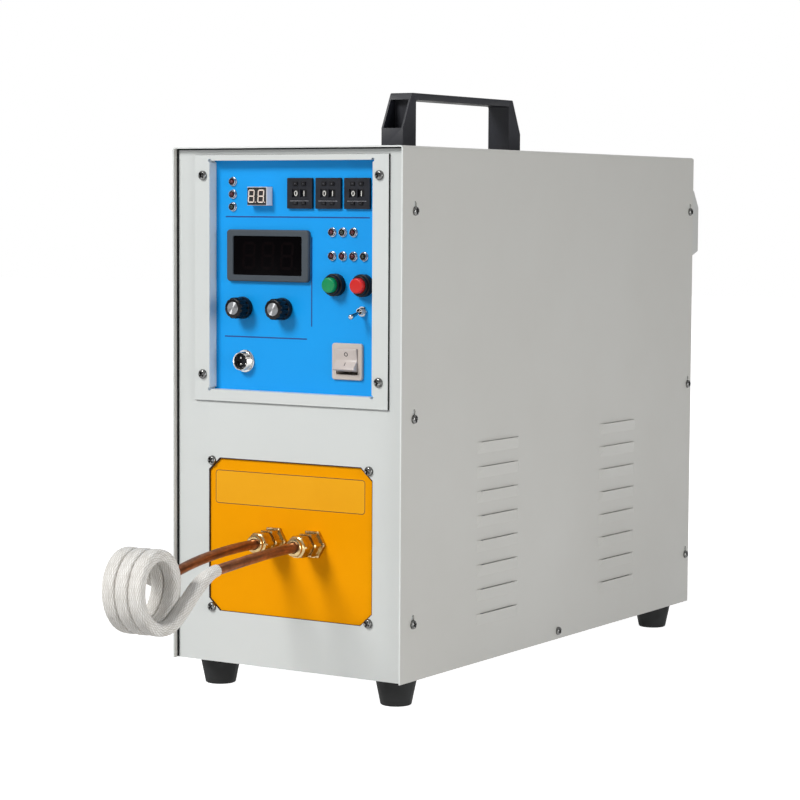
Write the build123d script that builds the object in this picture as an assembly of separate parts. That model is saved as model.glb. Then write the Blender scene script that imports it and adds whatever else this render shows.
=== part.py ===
"""Bench induction heating machine with a water-cooled work coil.

The pieces are drawn in the casing's frame: X to the right, Y to the back, Z up, with zero at
the middle of the casing's lower front edge. Sizes are millimetres. The last section moves the
whole machine so that its origin is the middle of its box, on the floor.
"""
from build123d import *
from math import cos, pi, radians, sin, sqrt, tan
import os

# Casing
CASE_WIDTH = 232.0
CASE_DEPTH = 540.0
CASE_HEIGHT = 440.0
COVER_SHEET = 1.2
COVER_BEND = 2.5
CHASSIS_SHEET = 1.5
SEAM_GAP = 0.3
FRONT_RECESS = 5.5
REAR_RECESS = 18.0
FRONT_FLANGE = 24.0
REAR_FLANGE = 16.0
TRAY_FLANGE = 15.0
FIT_GAP = 0.2

# Screws
SCREW_RADIUS = 2.0
SCREW_HOLE_RADIUS = 2.2
SCREW_HEAD_RADIUS = 3.8
SCREW_HEAD_HEIGHT = 2.4
SCREW_LENGTH = 9.0
KEYHOLE_RISE = 6.0
SIDE_SCREW_LOW = 47.5
SIDE_SCREW_TOP_DROP = 52.9
FRONT_SCREW_DEPTH = 19.5
REAR_SCREW_EDGE = 7.0
TRAY_SCREW_HEIGHT = 7.4

# Louvres on both sides
LOUVRE_ROWS = 8
LOUVRE_PITCH = 21.2
LOUVRE_TOP = 190.3
LOUVRE_LENGTH = 72.0
LOUVRE_STARTS = (122.5, 346.5)
LOUVRE_HEIGHT = 10.0
LOUVRE_REACH = 2.6
LOUVRE_TAPER = 7.0
LOUVRE_WALL = 0.9

# Feet
FOOT_HEIGHT = 24.0
FOOT_TOP_RADIUS = 18.0
FOOT_BASE_RADIUS = 13.0
FOOT_EDGE_ROUND = 1.5
FOOT_SIDE = 90.5
FOOT_FRONT = 35.0
FOOT_REAR_EDGE = 27.0

# Carrying handle
HANDLE_WIDTH = 22.6
HANDLE_FRONT = 167.0
HANDLE_LENGTH = 210.5
HANDLE_LEAN = 15.0
HANDLE_HEIGHT = 51.4
HANDLE_BAR = 6.0
HANDLE_LEG = 22.0
HANDLE_WALL = 2.0
HANDLE_LIP = 20.0
HANDLE_FLOOR = 6.0
HANDLE_SCREW_RADIUS = 2.5
HANDLE_SCREW_HOLE = 2.8
HANDLE_SCREW_HEAD = 4.5
HANDLE_SCREW_BACK = 12.0

# Window for the controls, with its folded frame
WINDOW_X = 2.7
WINDOW_DROP = 108.4
WINDOW_WIDTH = 164.5
WINDOW_HEIGHT = 194.0
FRAME_SHEET = 2.0
FRAME_WIDTH = 195.5
FRAME_HEIGHT = 208.4
FRAME_SINK = 2.5
FRAME_RELIEF = 1.6
FRAME_SCREWS_X = 178.1
FRAME_SCREWS_Z = 168.9
PLATE_DEPTH = 13.5
PLATE_SHEET = 1.5
PLATE_WIDTH = 190.0
PLATE_HEIGHT = 200.0
STANDOFF_RADIUS = 3.5

# Control board behind the plate
BOARD_DEPTH = 60.0
BOARD_SIZE = (164.0, 120.0)
BOARD_SHEET = 1.6
BOARD_X = 2.0
BOARD_DROP = 74.0
BOARD_POST_INSET = 6.0
BOARD_POST_RADIUS = 3.0
BOARD_BLOCKS = (
    (-0.55, 0.5, (40.0, 34.0, 28.0)),
    (0.12, 0.57, (30.0, 16.0, 16.0)),
    (0.6, 0.57, (30.0, 16.0, 16.0)),
    (-0.25, -0.42, (38.0, 12.0, 5.0)),
    (0.43, -0.42, (20.0, 8.0, 5.0)),
)
BOARD_CAN = (8.0, 25.0)
BOARD_CAN_PLACES = (0.25, 0.5)

# Pushwheel timers
TIMER_X = (7.7, 36.2, 64.7)
TIMER_DROP = 38.8
TIMER_BEZEL = (25.0, 25.6)
TIMER_PROUD = 2.5
TIMER_BODY = (22.6, 23.2)
TIMER_BODY_DEPTH = 28.0
WHEEL_PITCH = 8.2
WHEEL_RADIUS = 7.8
WHEEL_WIDTH = 5.0
WHEEL_ROOM = 0.4
WHEEL_FACES = 10
WHEEL_WALL = 1.2
AXLE_RADIUS = 1.0
AXLE_CLEARANCE = 0.05
WHEEL_WINDOW_HEIGHT = 4.8
PUSH_WIDTH = 4.2
PUSH_HEIGHT = 2.6
PUSH_OFFSET = 8.0
PUSH_LENGTH = 3.2
PUSH_PROUD = 0.8
PUSH_SLOT_DEPTH = 4.6

# Countdown display
DISPLAY_X = -31.7
DISPLAY_DROP = 41.3
DISPLAY_SIZE = (20.2, 15.6)
DISPLAY_PROUD = 8.2
DISPLAY_DEPTH = 8.0
DISPLAY_EDGE = 0.6

# Indicator lamps
LAMP_COLUMN_X = -62.0
LAMP_COLUMN_DROPS = (29.0, 39.7, 50.3)
LAMP_ROWS_X = 39.3
LAMP_PITCH = 10.5
LAMP_ROW_DROPS = (70.8, 90.5)
LAMP_ROW_COUNT = (3, 4)
LAMP_BEZEL_RADIUS = 3.2
LAMP_BEZEL_PROUD = 1.8
LAMP_BARREL_RADIUS = 2.5
LAMP_BARREL_DEPTH = 7.0
LAMP_LENS_RADIUS = 1.6
LAMP_LENS_PROUD = 2.6

# Digital ammeter
METER_X = -24.3
METER_DROP = 91.2
METER_BEZEL = (83.6, 43.6)
METER_PROUD = 4.0
METER_ROUND = 3.0
METER_BODY = (77.0, 38.0)
METER_BODY_DEPTH = 32.0
METER_WINDOW = (70.6, 33.0)
METER_WINDOW_ROUND = 1.5
METER_WINDOW_SET = 1.5
METER_WINDOW_SHEET = 2.0
METER_LEDGE = 3.0
METER_POCKET = 4.0

# Start and stop buttons
BUTTON_X = (43.3, 70.9)
BUTTON_DROP = 114.3
BUTTON_BEZEL_RADIUS = 9.4
BUTTON_BEZEL_PROUD = 6.0
BUTTON_COLLAR_RADIUS = 8.0
BUTTON_COLLAR_PROUD = 9.0
BUTTON_BODY_RADIUS = 5.8
BUTTON_BODY_DEPTH = 20.0
BUTTON_CAP_RADIUS = 6.4
BUTTON_CAP_PROUD = 13.5
BUTTON_CAP_ROUND = 0.8
BUTTON_CAP_GAP = 0.15
BUTTON_STEM_RADIUS = 3.0
BUTTON_TRAVEL = 3.0

# Knobs and their potentiometers
KNOB_X = (-50.9, -9.9)
KNOB_DROP = 135.6
KNOB_RADIUS = 8.5
KNOB_LENGTH = 15.5
KNOB_FOOT = 0.5
KNOB_FLUTES = 12
KNOB_FLUTE_RADIUS = 1.3
KNOB_CAP_RADIUS = 6.0
KNOB_CAP_PROUD = 0.5
KNOB_SKIRT_DEPTH = 4.0
KNOB_SKIRT_RADIUS = 7.0
KNOB_SHAFT_RADIUS = 3.0
KNOB_SHAFT_SOCKET = 11.0
POT_BUSHING_RADIUS = 3.9
POT_BUSHING_PROUD = 3.6
POT_NUT_ACROSS = 10.0
POT_NUT_HEIGHT = 2.2
POT_CAN_RADIUS = 8.5
POT_CAN_DEPTH = 12.0
SHAFT_CLEARANCE = 0.08

# Toggle switch
TOGGLE_X = 69.8
TOGGLE_DROP = 135.6
TOGGLE_BUSHING_RADIUS = 3.0
TOGGLE_BUSHING_BORE = 2.4
TOGGLE_BUSHING_PROUD = 6.0
TOGGLE_NUT_ACROSS = 8.0
TOGGLE_NUT_HEIGHT = 2.0
TOGGLE_BODY = (8.0, 10.0, 13.0)
TOGGLE_PIVOT_PROUD = 3.4
TOGGLE_BALL_RADIUS = 2.2
TOGGLE_LEVER_LENGTH = 17.0
TOGGLE_LEVER_RADIUS = 1.0
TOGGLE_TIP_RADIUS = 1.6
TOGGLE_TILT = 15.0

# Rocker power switch
ROCKER_X = 55.6
ROCKER_DROP = 177.5
ROCKER_BEZEL = (30.0, 30.4)
ROCKER_BEZEL_ROUND = 2.5
ROCKER_PROUD = 2.5
ROCKER_BODY = (26.6, 27.4)
ROCKER_BODY_DEPTH = 26.0
ROCKER_WELL = (21.6, 21.6)
ROCKER_PADDLE_WIDTH = 21.0
ROCKER_PIVOT_DEPTH = 5.0
ROCKER_NOSE = (8.2, 4.4)
ROCKER_MIDDLE = 2.2
ROCKER_SHOULDER = (9.3, -2.0)
ROCKER_TAIL = (5.0, -8.5)
ROCKER_TILT = 14.0
ROCKER_PIN_RADIUS = 1.5
ROCKER_PIN_LENGTH = 1.4
ROCKER_WELL_DEPTH = 18.0

# Pedal socket
SOCKET_X = -48.9
SOCKET_DROP = 180.8
SOCKET_SHELL_RADIUS = 8.0
SOCKET_FLANGE_RADIUS = 9.6
SOCKET_FLANGE_PROUD = 1.6
SOCKET_PROUD = 8.0
SOCKET_BORE_RADIUS = 6.8
SOCKET_BODY_DEPTH = 12.0
SOCKET_INSERT_SET = 6.5
SOCKET_PIN_RADIUS = 0.8
SOCKET_PIN_CIRCLE = 3.4
SOCKET_PIN_LENGTH = 1.6
SOCKET_PINS = 4

# Output board and its notched window
OUTPUT_X = 1.8
OUTPUT_Z = 110.3
OUTPUT_WINDOW = (166.5, 132.0)
OUTPUT_NOTCH_RADIUS = 7.2
OUTPUT_SCREWS = (159.6, 126.5)
OUTPUT_BOARD = (182.0, 148.0)
OUTPUT_BOARD_SHEET = 4.0

# Output fittings
FITTING_X = 6.2
FITTING_SPACING = 39.6
FITTING_Z = 109.0
FITTING_FLANGE_ACROSS = 22.0
FITTING_FLANGE_HEIGHT = 3.5
FITTING_HEX_ACROSS = 19.0
FITTING_HEX_LENGTH = 11.5
FITTING_CHAMFER = 1.2
FLARE_NUT_ACROSS = 17.5
FLARE_NUT_LENGTH = 16.0
FLARE_NUT_CONE = 5.0
FITTING_THREAD_RADIUS = 7.0
FITTING_THREAD_INSIDE = 22.0
LOCK_NUT_HEIGHT = 5.0
TUBE_SEAT = 8.0

# Work coil
TUBE_RADIUS = 4.2
SLEEVE_RADIUS = 5.6
SLEEVE_CLEARANCE = 0.1
COIL_RADIUS = 28.5
COIL_PITCH = 12.3
COIL_START = (27.5, -203.0, 94.4)
COIL_YAW = 3.2
COIL_FIRST_TURN = -0.1
COIL_LAST_TURN = 2.667
LEAD_BEND = (27.0, -131.0, 103.2)
LEAD_BEND_SLOPE = -0.08
LEFT_LEAD_LOW = (-10.5, -149.0, 95.6)
LEFT_LEAD_SLOPE = 0.24
LEFT_LEAD_DRIFT = -0.08

# Output transformer
TERMINAL_BLOCK = (32.0, 24.0, 34.0)
TERMINAL_BORE_GAP = 0.2
NIPPLE_RADIUS = 4.0
NIPPLE_HEIGHT = 16.0
STRAP = (30.0, 36.0, 4.0)
CORE_WIDTH = 112.0
CORE_DEPTH = 60.0
CORE_HEIGHT = 92.0
CORE_WINDOW = (22.0, 52.0)
CORE_LEG = 28.0
WINDING_WALL = 16.0
POST_RADIUS = 7.0
POST_SPREAD = 80.0

# Tank capacitors
TANK_START = 165.0
TANK_RADIUS = 19.0
TANK_LENGTH = 46.0
TANK_COLUMNS = 3
TANK_PITCH = 42.0
TANK_PLATE = 3.0
TANK_Z = 110.0

# Inverter heatsink
SINK_START = 265.0
SINK_LENGTH = 180.0
SINK_HEIGHT = 170.0
SINK_BASE = 12.0
SINK_X = -10.0
SINK_FINS = 12
SINK_FIN_REACH = 34.0
SINK_FIN_SHEET = 2.5
MODULE_SIZE = (20.0, 46.0, 60.0)
MODULE_COUNT = 3

# Fan
FAN_SIDE_GAP = 66.0
FAN_DROP = 102.0
FAN_SIZE = 120.0
FAN_DEPTH = 38.0
FAN_DUCT_RADIUS = 57.5
FAN_TIP_GAP = 1.2
FAN_HUB_RADIUS = 21.0
FAN_HUB_DEPTH = 26.0
FAN_BLADES = 7
FAN_BLADE_SHEET = 2.0
FAN_BLADE_PITCH = 38.0
FAN_BLADE_CHORD = 24.0
FAN_SPOKE_WIDTH = 6.0
FAN_SPOKE_DEPTH = 4.0
FAN_SHAFT_RADIUS = 2.5
FAN_RUN_GAP = 0.3
GRILLE_RINGS = 5
GRILLE_SLOT = 6.5
GRILLE_RIB = 4.0
GRILLE_SPOKE = 6.0
GRILLE_CENTRE = 12.0

# Water spigots and hoses
SPIGOT_SIDE_GAPS = (34.0, 74.0)
SPIGOT_Z = 70.0
SPIGOT_RADIUS = 4.0
SPIGOT_BORE = 2.6
SPIGOT_RIDGE_RADIUS = 4.7
SPIGOT_RIDGES = 3
SPIGOT_RIDGE_PITCH = 5.0
SPIGOT_PILOT = 10.0
SPIGOT_HEX_ACROSS = 16.0
SPIGOT_HEX_HEIGHT = 8.0
SPIGOT_THREAD_RADIUS = 6.0
SPIGOT_INSIDE = 22.0
HOSE_BORE = 4.1
HOSE_RADIUS = 6.5
HOSE_RUN_Z = 205.0
HOSE_BEND = 30.0
HOSE_DROP = 36.0

# Terminal hood and its cable gland
HOOD_SIDE_GAP = 56.0
HOOD_WIDTH = 80.0
HOOD_HEIGHT = 64.0
HOOD_DROP = 32.0
HOOD_REACH = 64.0
HOOD_SHOULDER = 11.0
HOOD_CHIN = 4.0
HOOD_SHEET = 1.2
HOOD_TAB = 11.0
HOOD_TAB_HEIGHT = 16.0
GLAND_OUT = 36.0
GLAND_BORE = 6.5
GLAND_THREAD_RADIUS = 9.0
GLAND_THREAD_LENGTH = 9.0
GLAND_HEX_ACROSS = 24.0
GLAND_HEX_HEIGHT = 6.0
GLAND_CAP_RADIUS = 11.0
GLAND_CAP_LENGTH = 16.0
GLAND_NUT_HEIGHT = 4.0

# Planes that several pieces share
INNER_HALF = CASE_WIDTH / 2 - COVER_SHEET - SEAM_GAP
INNER_TOP = CASE_HEIGHT - COVER_SHEET - SEAM_GAP
PANEL_BACK = FRONT_RECESS + CHASSIS_SHEET
PLATE_BACK = PLATE_DEPTH + PLATE_SHEET
REAR_FACE = CASE_DEPTH - REAR_RECESS
REAR_INSIDE = REAR_FACE - CHASSIS_SHEET
FRAME_FRONT = FRONT_RECESS - FRAME_SHEET
REAR_SCREW_DEPTH = CASE_DEPTH - REAR_SCREW_EDGE
TRAY_SCREW_DEPTH = CASE_DEPTH / 2
SIDE_SCREW_TOP = CASE_HEIGHT - SIDE_SCREW_TOP_DROP
SIDE_SCREW_HEIGHTS = (SIDE_SCREW_LOW, (SIDE_SCREW_LOW + SIDE_SCREW_TOP) / 2, SIDE_SCREW_TOP)
WINDOW_Z = CASE_HEIGHT - WINDOW_DROP
FRAME_Z = WINDOW_Z - FRAME_SINK
BOARD_Z = CASE_HEIGHT - BOARD_DROP
TIMER_Z = CASE_HEIGHT - TIMER_DROP
DISPLAY_Z = CASE_HEIGHT - DISPLAY_DROP
LAMP_COLUMN_Z = [CASE_HEIGHT - drop for drop in LAMP_COLUMN_DROPS]
LAMP_ROW_Z = [CASE_HEIGHT - drop for drop in LAMP_ROW_DROPS]
METER_Z = CASE_HEIGHT - METER_DROP
BUTTON_Z = CASE_HEIGHT - BUTTON_DROP
KNOB_Z = CASE_HEIGHT - KNOB_DROP
TOGGLE_Z = CASE_HEIGHT - TOGGLE_DROP
ROCKER_Z = CASE_HEIGHT - ROCKER_DROP
SOCKET_Z = CASE_HEIGHT - SOCKET_DROP
FAN_X = FAN_SIDE_GAP - CASE_WIDTH / 2
FAN_Z = CASE_HEIGHT - FAN_DROP
SPIGOT_X = [gap - CASE_WIDTH / 2 for gap in SPIGOT_SIDE_GAPS]
HOOD_X = CASE_WIDTH / 2 - HOOD_SIDE_GAP
HOOD_TOP = CASE_HEIGHT - HOOD_DROP
HOOD_FLOOR = HOOD_TOP - HOOD_HEIGHT
FRAME_SCREW_POINTS = [
    (WINDOW_X + side * FRAME_SCREWS_X / 2, WINDOW_Z + end * FRAME_SCREWS_Z / 2)
    for side in (-1, 1)
    for end in (-1, 1)
]
OUTPUT_SCREW_POINTS = [
    (OUTPUT_X + side * OUTPUT_SCREWS[0] / 2, OUTPUT_Z + end * OUTPUT_SCREWS[1] / 2)
    for side in (-1, 1)
    for end in (-1, 1)
]
FITTING_POINTS = [FITTING_X + side * FITTING_SPACING / 2 for side in (-1, 1)]
HANDLE_SCREW_DEPTHS = (
    HANDLE_FRONT + HANDLE_SCREW_BACK,
    HANDLE_FRONT + HANDLE_LENGTH - HANDLE_SCREW_BACK,
)
LAMP_POINTS = [(LAMP_COLUMN_X, z) for z in LAMP_COLUMN_Z] + [
    (LAMP_ROWS_X + step * LAMP_PITCH, z)
    for z, count in zip(LAMP_ROW_Z, LAMP_ROW_COUNT)
    for step in range(count)
]
HOOD_TAB_POINTS = [
    (HOOD_X + side * (HOOD_WIDTH + HOOD_TAB) / 2, (HOOD_TOP + HOOD_FLOOR) / 2)
    for side in (-1, 1)
]
BOARD_POSTS = [
    (
        BOARD_X + side * (BOARD_SIZE[0] / 2 - BOARD_POST_INSET),
        BOARD_Z + end * (BOARD_SIZE[1] / 2 - BOARD_POST_INSET),
    )
    for side in (-1, 1)
    for end in (-1, 1)
]


def rectangle_at(x, z, width, height, corner=0.0):
    """A rectangle of the front view, with rounded corners where a radius is given."""
    outline = RectangleRounded(width, height, corner) if corner else Rectangle(width, height)
    return Pos(x, z) * outline


def slab(outline, front, back):
    """An outline of the front view, from one depth to another."""
    return extrude(Pos(0, front, 0) * (Plane.XZ * outline), amount=back - front, dir=(0, 1, 0))


def side_slab(outline, left, right):
    """An outline of the side view (depth, height), from one X to another."""
    return extrude(Pos(left, 0, 0) * (Plane.YZ * outline), amount=right - left, dir=(1, 0, 0))


def rod(radius, x, z, front, back):
    """A round bar along the depth."""
    return slab(Pos(x, z) * Circle(radius), front, back)


def cross_rod(radius, left, right, y, z):
    """A round bar along the width."""
    return side_slab(Pos(y, z) * Circle(radius), left, right)


def post(radius, x, y, low, high):
    """A round bar along the height."""
    return extrude(Pos(x, y, low) * Circle(radius), amount=high - low)


def hexagon(across, x, z, front, back):
    """A hexagonal bar along the depth, with its flats `across` apart."""
    return slab(Pos(x, z) * RegularPolygon(across / 2, 6, major_radius=False), front, back)


def group(solids):
    """Like pieces in one node, each still a solid of its own."""
    return Compound([solid for part in solids for solid in part.solids()])


def screw(head_radius, radius, length):
    """A pan head screw along Z, with the underside of its head at zero."""
    head = extrude(Circle(head_radius), amount=SCREW_HEAD_HEIGHT)
    head = fillet(head.edges().group_by(Axis.Z)[-1], SCREW_HEAD_HEIGHT / 2)
    return head + extrude(Circle(radius), amount=-length)


def louvre(reach, height, drop):
    """One pressed scoop on the right side, its mouth at the top edge."""
    wall = CASE_WIDTH / 2
    profile = Polyline((wall, 0), (wall + reach, 0), (wall, -height), close=True)
    bulge = slab(make_face(profile), 0, LOUVRE_LENGTH)
    plan = Polyline(
        (wall, drop),
        (wall + reach, LOUVRE_TAPER),
        (wall + reach, LOUVRE_LENGTH - LOUVRE_TAPER),
        (wall, LOUVRE_LENGTH - drop),
        close=True,
    )
    return bulge & extrude(Pos(0, 0, -height) * make_face(plan), amount=height)


def mirror_sides(solids):
    """The same solids on both sides of the casing."""
    return list(solids) + [mirror(solid, about=Plane.YZ) for solid in solids]


# Cover: one sheet bent over the top and both sides
def side_screw_points():
    """Depth, height and rise of the slot for each screw on one side of the cover."""
    depths = (FRONT_SCREW_DEPTH, REAR_SCREW_DEPTH)
    points = [(y, z, KEYHOLE_RISE) for y in depths for z in SIDE_SCREW_HEIGHTS]
    return points + [(TRAY_SCREW_DEPTH, TRAY_SCREW_HEIGHT, 0.0)]


def cover():
    half = CASE_WIDTH / 2
    top = side_slab(Pos(CASE_DEPTH / 2, CASE_HEIGHT / 2) * Rectangle(CASE_DEPTH, CASE_HEIGHT), -half, half)
    top = fillet(top.edges().filter_by(Axis.Y).group_by(Axis.Z)[-1], COVER_BEND)
    inside = half - COVER_SHEET
    height = CASE_HEIGHT - COVER_SHEET
    room = side_slab(Pos(CASE_DEPTH / 2, height / 2) * Rectangle(CASE_DEPTH, height), -inside, inside)
    room = fillet(room.edges().filter_by(Axis.Y).group_by(Axis.Z)[-1], COVER_BEND - COVER_SHEET)
    shell = top - room
    places = [
        Pos(0, start, LOUVRE_TOP - row * LOUVRE_PITCH)
        for start in LOUVRE_STARTS
        for row in range(LOUVRE_ROWS)
    ]
    bulge = louvre(LOUVRE_REACH, LOUVRE_HEIGHT, 0.0)
    mouth_reach = LOUVRE_REACH - LOUVRE_WALL
    mouth = louvre(mouth_reach, LOUVRE_HEIGHT * mouth_reach / LOUVRE_REACH, LOUVRE_WALL)
    slot = Pos(inside, LOUVRE_TAPER, -LOUVRE_REACH) * Box(
        2 * COVER_SHEET, LOUVRE_LENGTH - 2 * LOUVRE_TAPER, LOUVRE_REACH, align=(Align.CENTER, Align.MIN, Align.MIN)
    )
    shell += mirror_sides([place * bulge for place in places])
    shell -= mirror_sides([place * piece for place in places for piece in (mouth, slot)])
    cuts = []
    for y, z, rise in side_screw_points():
        hole = Pos(y, z) * Circle(SCREW_HOLE_RADIUS)
        if rise:
            hole += Pos(y, z + rise / 2) * Rectangle(2 * SCREW_HOLE_RADIUS, rise)
            hole += Pos(y, z + rise) * Circle(SCREW_HOLE_RADIUS)
        cuts.append(side_slab(hole, inside - COVER_SHEET, half + COVER_SHEET))
    shell -= mirror_sides(cuts)
    return shell - [post(HANDLE_SCREW_HOLE, 0, y, height, CASE_HEIGHT) for y in HANDLE_SCREW_DEPTHS]


# Chassis: front panel, rear panel and base tray
def flange_holes(depth, left):
    """Screw holes through a side flange at the heights of the cover's screws."""
    return [
        cross_rod(SCREW_HOLE_RADIUS, left, left + 2 * CHASSIS_SHEET, depth, z) for z in SIDE_SCREW_HEIGHTS
    ]


def panel_outline(bottom, inset=0.0):
    """The room inside the cover, with its rounded upper corners."""
    top = INNER_TOP - inset
    outline = Pos(0, (top + bottom) / 2) * Rectangle(2 * (INNER_HALF - inset), top - bottom)
    return fillet(outline.vertices().group_by(Axis.Y)[-1], COVER_BEND - COVER_SHEET)


def folded_panel(face, flange_front, flange_back, bottom, hole_depth):
    """A panel with a folded flange on its sides and top."""
    rim = panel_outline(bottom) - panel_outline(bottom, CHASSIS_SHEET)
    panel = face + slab(rim, flange_front, flange_back)
    return panel - mirror_sides(flange_holes(hole_depth, INNER_HALF - 1.5 * CHASSIS_SHEET))


def output_window():
    """The front panel's lower cut-out, with a tab left round each corner screw."""
    window = rectangle_at(OUTPUT_X, OUTPUT_Z, *OUTPUT_WINDOW)
    return window - [Pos(x, z) * Circle(OUTPUT_NOTCH_RADIUS) for x, z in OUTPUT_SCREW_POINTS]


def front_panel():
    outline = panel_outline(0.0)
    room = 2 * (FRAME_SHEET + FIT_GAP)
    outline -= rectangle_at(WINDOW_X, WINDOW_Z, WINDOW_WIDTH + room, WINDOW_HEIGHT + room)
    outline -= output_window()
    for x, z in FRAME_SCREW_POINTS + OUTPUT_SCREW_POINTS:
        outline -= Pos(x, z) * Circle(SCREW_HOLE_RADIUS)
    face = slab(outline, FRONT_RECESS, PANEL_BACK)
    flange_back = FRONT_RECESS + FRONT_FLANGE
    return folded_panel(face, PANEL_BACK, flange_back, TRAY_FLANGE + FIT_GAP, FRONT_SCREW_DEPTH)


def grille_slots():
    """Rings of slots in front of the fan, held together by four ribs."""
    rings = Sketch()
    for ring in range(GRILLE_RINGS):
        inner = GRILLE_CENTRE + ring * (GRILLE_SLOT + GRILLE_RIB)
        rings += Circle(inner + GRILLE_SLOT) - Circle(inner)
    outer = 2 * (GRILLE_CENTRE + GRILLE_RINGS * (GRILLE_SLOT + GRILLE_RIB))
    ribs = [Rot(0, 0, angle) * Rectangle(outer, GRILLE_SPOKE) for angle in (45, 135)]
    return Pos(FAN_X, FAN_Z) * (rings - ribs)


def rear_panel():
    outline = panel_outline(0.0)
    outline -= grille_slots()
    for x in SPIGOT_X:
        outline -= Pos(x, SPIGOT_Z) * Circle(SPIGOT_THREAD_RADIUS + FIT_GAP)
    for x, z in HOOD_TAB_POINTS:
        outline -= Pos(x, z) * Circle(SCREW_HOLE_RADIUS)
    face = slab(outline, REAR_INSIDE, REAR_FACE)
    return folded_panel(face, REAR_FACE, REAR_FACE + REAR_FLANGE, 0.0, REAR_SCREW_DEPTH)


def base_tray():
    length = REAR_INSIDE - PANEL_BACK
    centre = (PANEL_BACK + REAR_INSIDE) / 2
    tray = Pos(0, centre, TRAY_FLANGE / 2) * Box(2 * INNER_HALF, length, TRAY_FLANGE)
    inside = Pos(0, centre, CHASSIS_SHEET + TRAY_FLANGE / 2)
    tray -= inside * Box(2 * (INNER_HALF - CHASSIS_SHEET), length - 2 * CHASSIS_SHEET, TRAY_FLANGE)
    hole = cross_rod(
        SCREW_HOLE_RADIUS, INNER_HALF - 1.5 * CHASSIS_SHEET, INNER_HALF + 1, TRAY_SCREW_DEPTH, TRAY_SCREW_HEIGHT
    )
    return tray - mirror_sides([hole])


# Feet: tapered rubber, bolted under the tray
def rubber_feet():
    profile = make_face(
        Polyline(
            (0, 0),
            (FOOT_TOP_RADIUS, 0),
            (FOOT_BASE_RADIUS, -FOOT_HEIGHT),
            (0, -FOOT_HEIGHT),
            close=True,
        )
    )
    foot = revolve(Plane.XZ * profile, axis=Axis.Z)
    foot = fillet(foot.edges().group_by(Axis.Z)[0], FOOT_EDGE_ROUND)
    depths = (FOOT_FRONT, CASE_DEPTH - FOOT_REAR_EDGE)
    return group(Pos(side * FOOT_SIDE, y, 0) * foot for side in (-1, 1) for y in depths)


# Handle: one moulding, hollow at both ends for its screws
def handle():
    back = HANDLE_FRONT + HANDLE_LENGTH
    base = CASE_HEIGHT
    top = base + HANDLE_HEIGHT
    outer = make_face(
        Polyline(
            (HANDLE_FRONT, base),
            (HANDLE_FRONT, base + HANDLE_LIP),
            (HANDLE_FRONT + HANDLE_LEAN, top),
            (back - HANDLE_LEAN, top),
            (back, base + HANDLE_LIP),
            (back, base),
            close=True,
        )
    )
    half = HANDLE_WIDTH / 2
    body = side_slab(outer, -half, half)
    body = fillet(body.edges().filter_by(Axis.X).group_by(Axis.Z)[-1], HANDLE_WALL)
    grip_front = HANDLE_FRONT + HANDLE_LEG
    grip_back = back - HANDLE_LEG
    grip_top = top - HANDLE_BAR
    grip = side_slab(
        Pos((grip_front + grip_back) / 2, (base + grip_top) / 2)
        * Rectangle(grip_back - grip_front, grip_top - base),
        -half,
        half,
    )
    grip = fillet(grip.edges().filter_by(Axis.X).group_by(Axis.Z)[-1], HANDLE_WALL)
    body -= grip
    pocket_low = base + HANDLE_FLOOR
    pocket = make_face(
        Polyline(
            (HANDLE_FRONT + HANDLE_WALL, pocket_low),
            (HANDLE_FRONT + HANDLE_WALL, base + HANDLE_LIP),
            (HANDLE_FRONT, base + HANDLE_LIP),
            (HANDLE_FRONT, grip_top),
            (grip_front - HANDLE_WALL, grip_top),
            (grip_front - HANDLE_WALL, pocket_low),
            close=True,
        )
    )
    hollow = side_slab(pocket, HANDLE_WALL - half, half - HANDLE_WALL)
    middle = Plane.XZ.offset(-(HANDLE_FRONT + back) / 2)
    body -= [hollow, mirror(hollow, about=middle)]
    return body - [post(HANDLE_SCREW_HOLE, 0, y, base, pocket_low) for y in HANDLE_SCREW_DEPTHS]


# Frame and plate of the control window
def window_frame():
    window = rectangle_at(WINDOW_X, WINDOW_Z, WINDOW_WIDTH, WINDOW_HEIGHT)
    flange = rectangle_at(WINDOW_X, FRAME_Z, FRAME_WIDTH, FRAME_HEIGHT) - window
    for x, z in FRAME_SCREW_POINTS:
        flange -= Pos(x, z) * Circle(SCREW_HOLE_RADIUS)
    fold = 2 * FRAME_SHEET
    returns = rectangle_at(WINDOW_X, WINDOW_Z, WINDOW_WIDTH + fold, WINDOW_HEIGHT + fold) - window
    frame = slab(flange, FRAME_FRONT, FRONT_RECESS) + slab(returns, FRONT_RECESS, PLATE_DEPTH)
    corners = [
        rod(
            FRAME_RELIEF,
            WINDOW_X + side * WINDOW_WIDTH / 2,
            WINDOW_Z + end * WINDOW_HEIGHT / 2,
            FRAME_FRONT,
            PLATE_DEPTH,
        )
        for side in (-1, 1)
        for end in (-1, 1)
    ]
    return frame - corners


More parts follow.
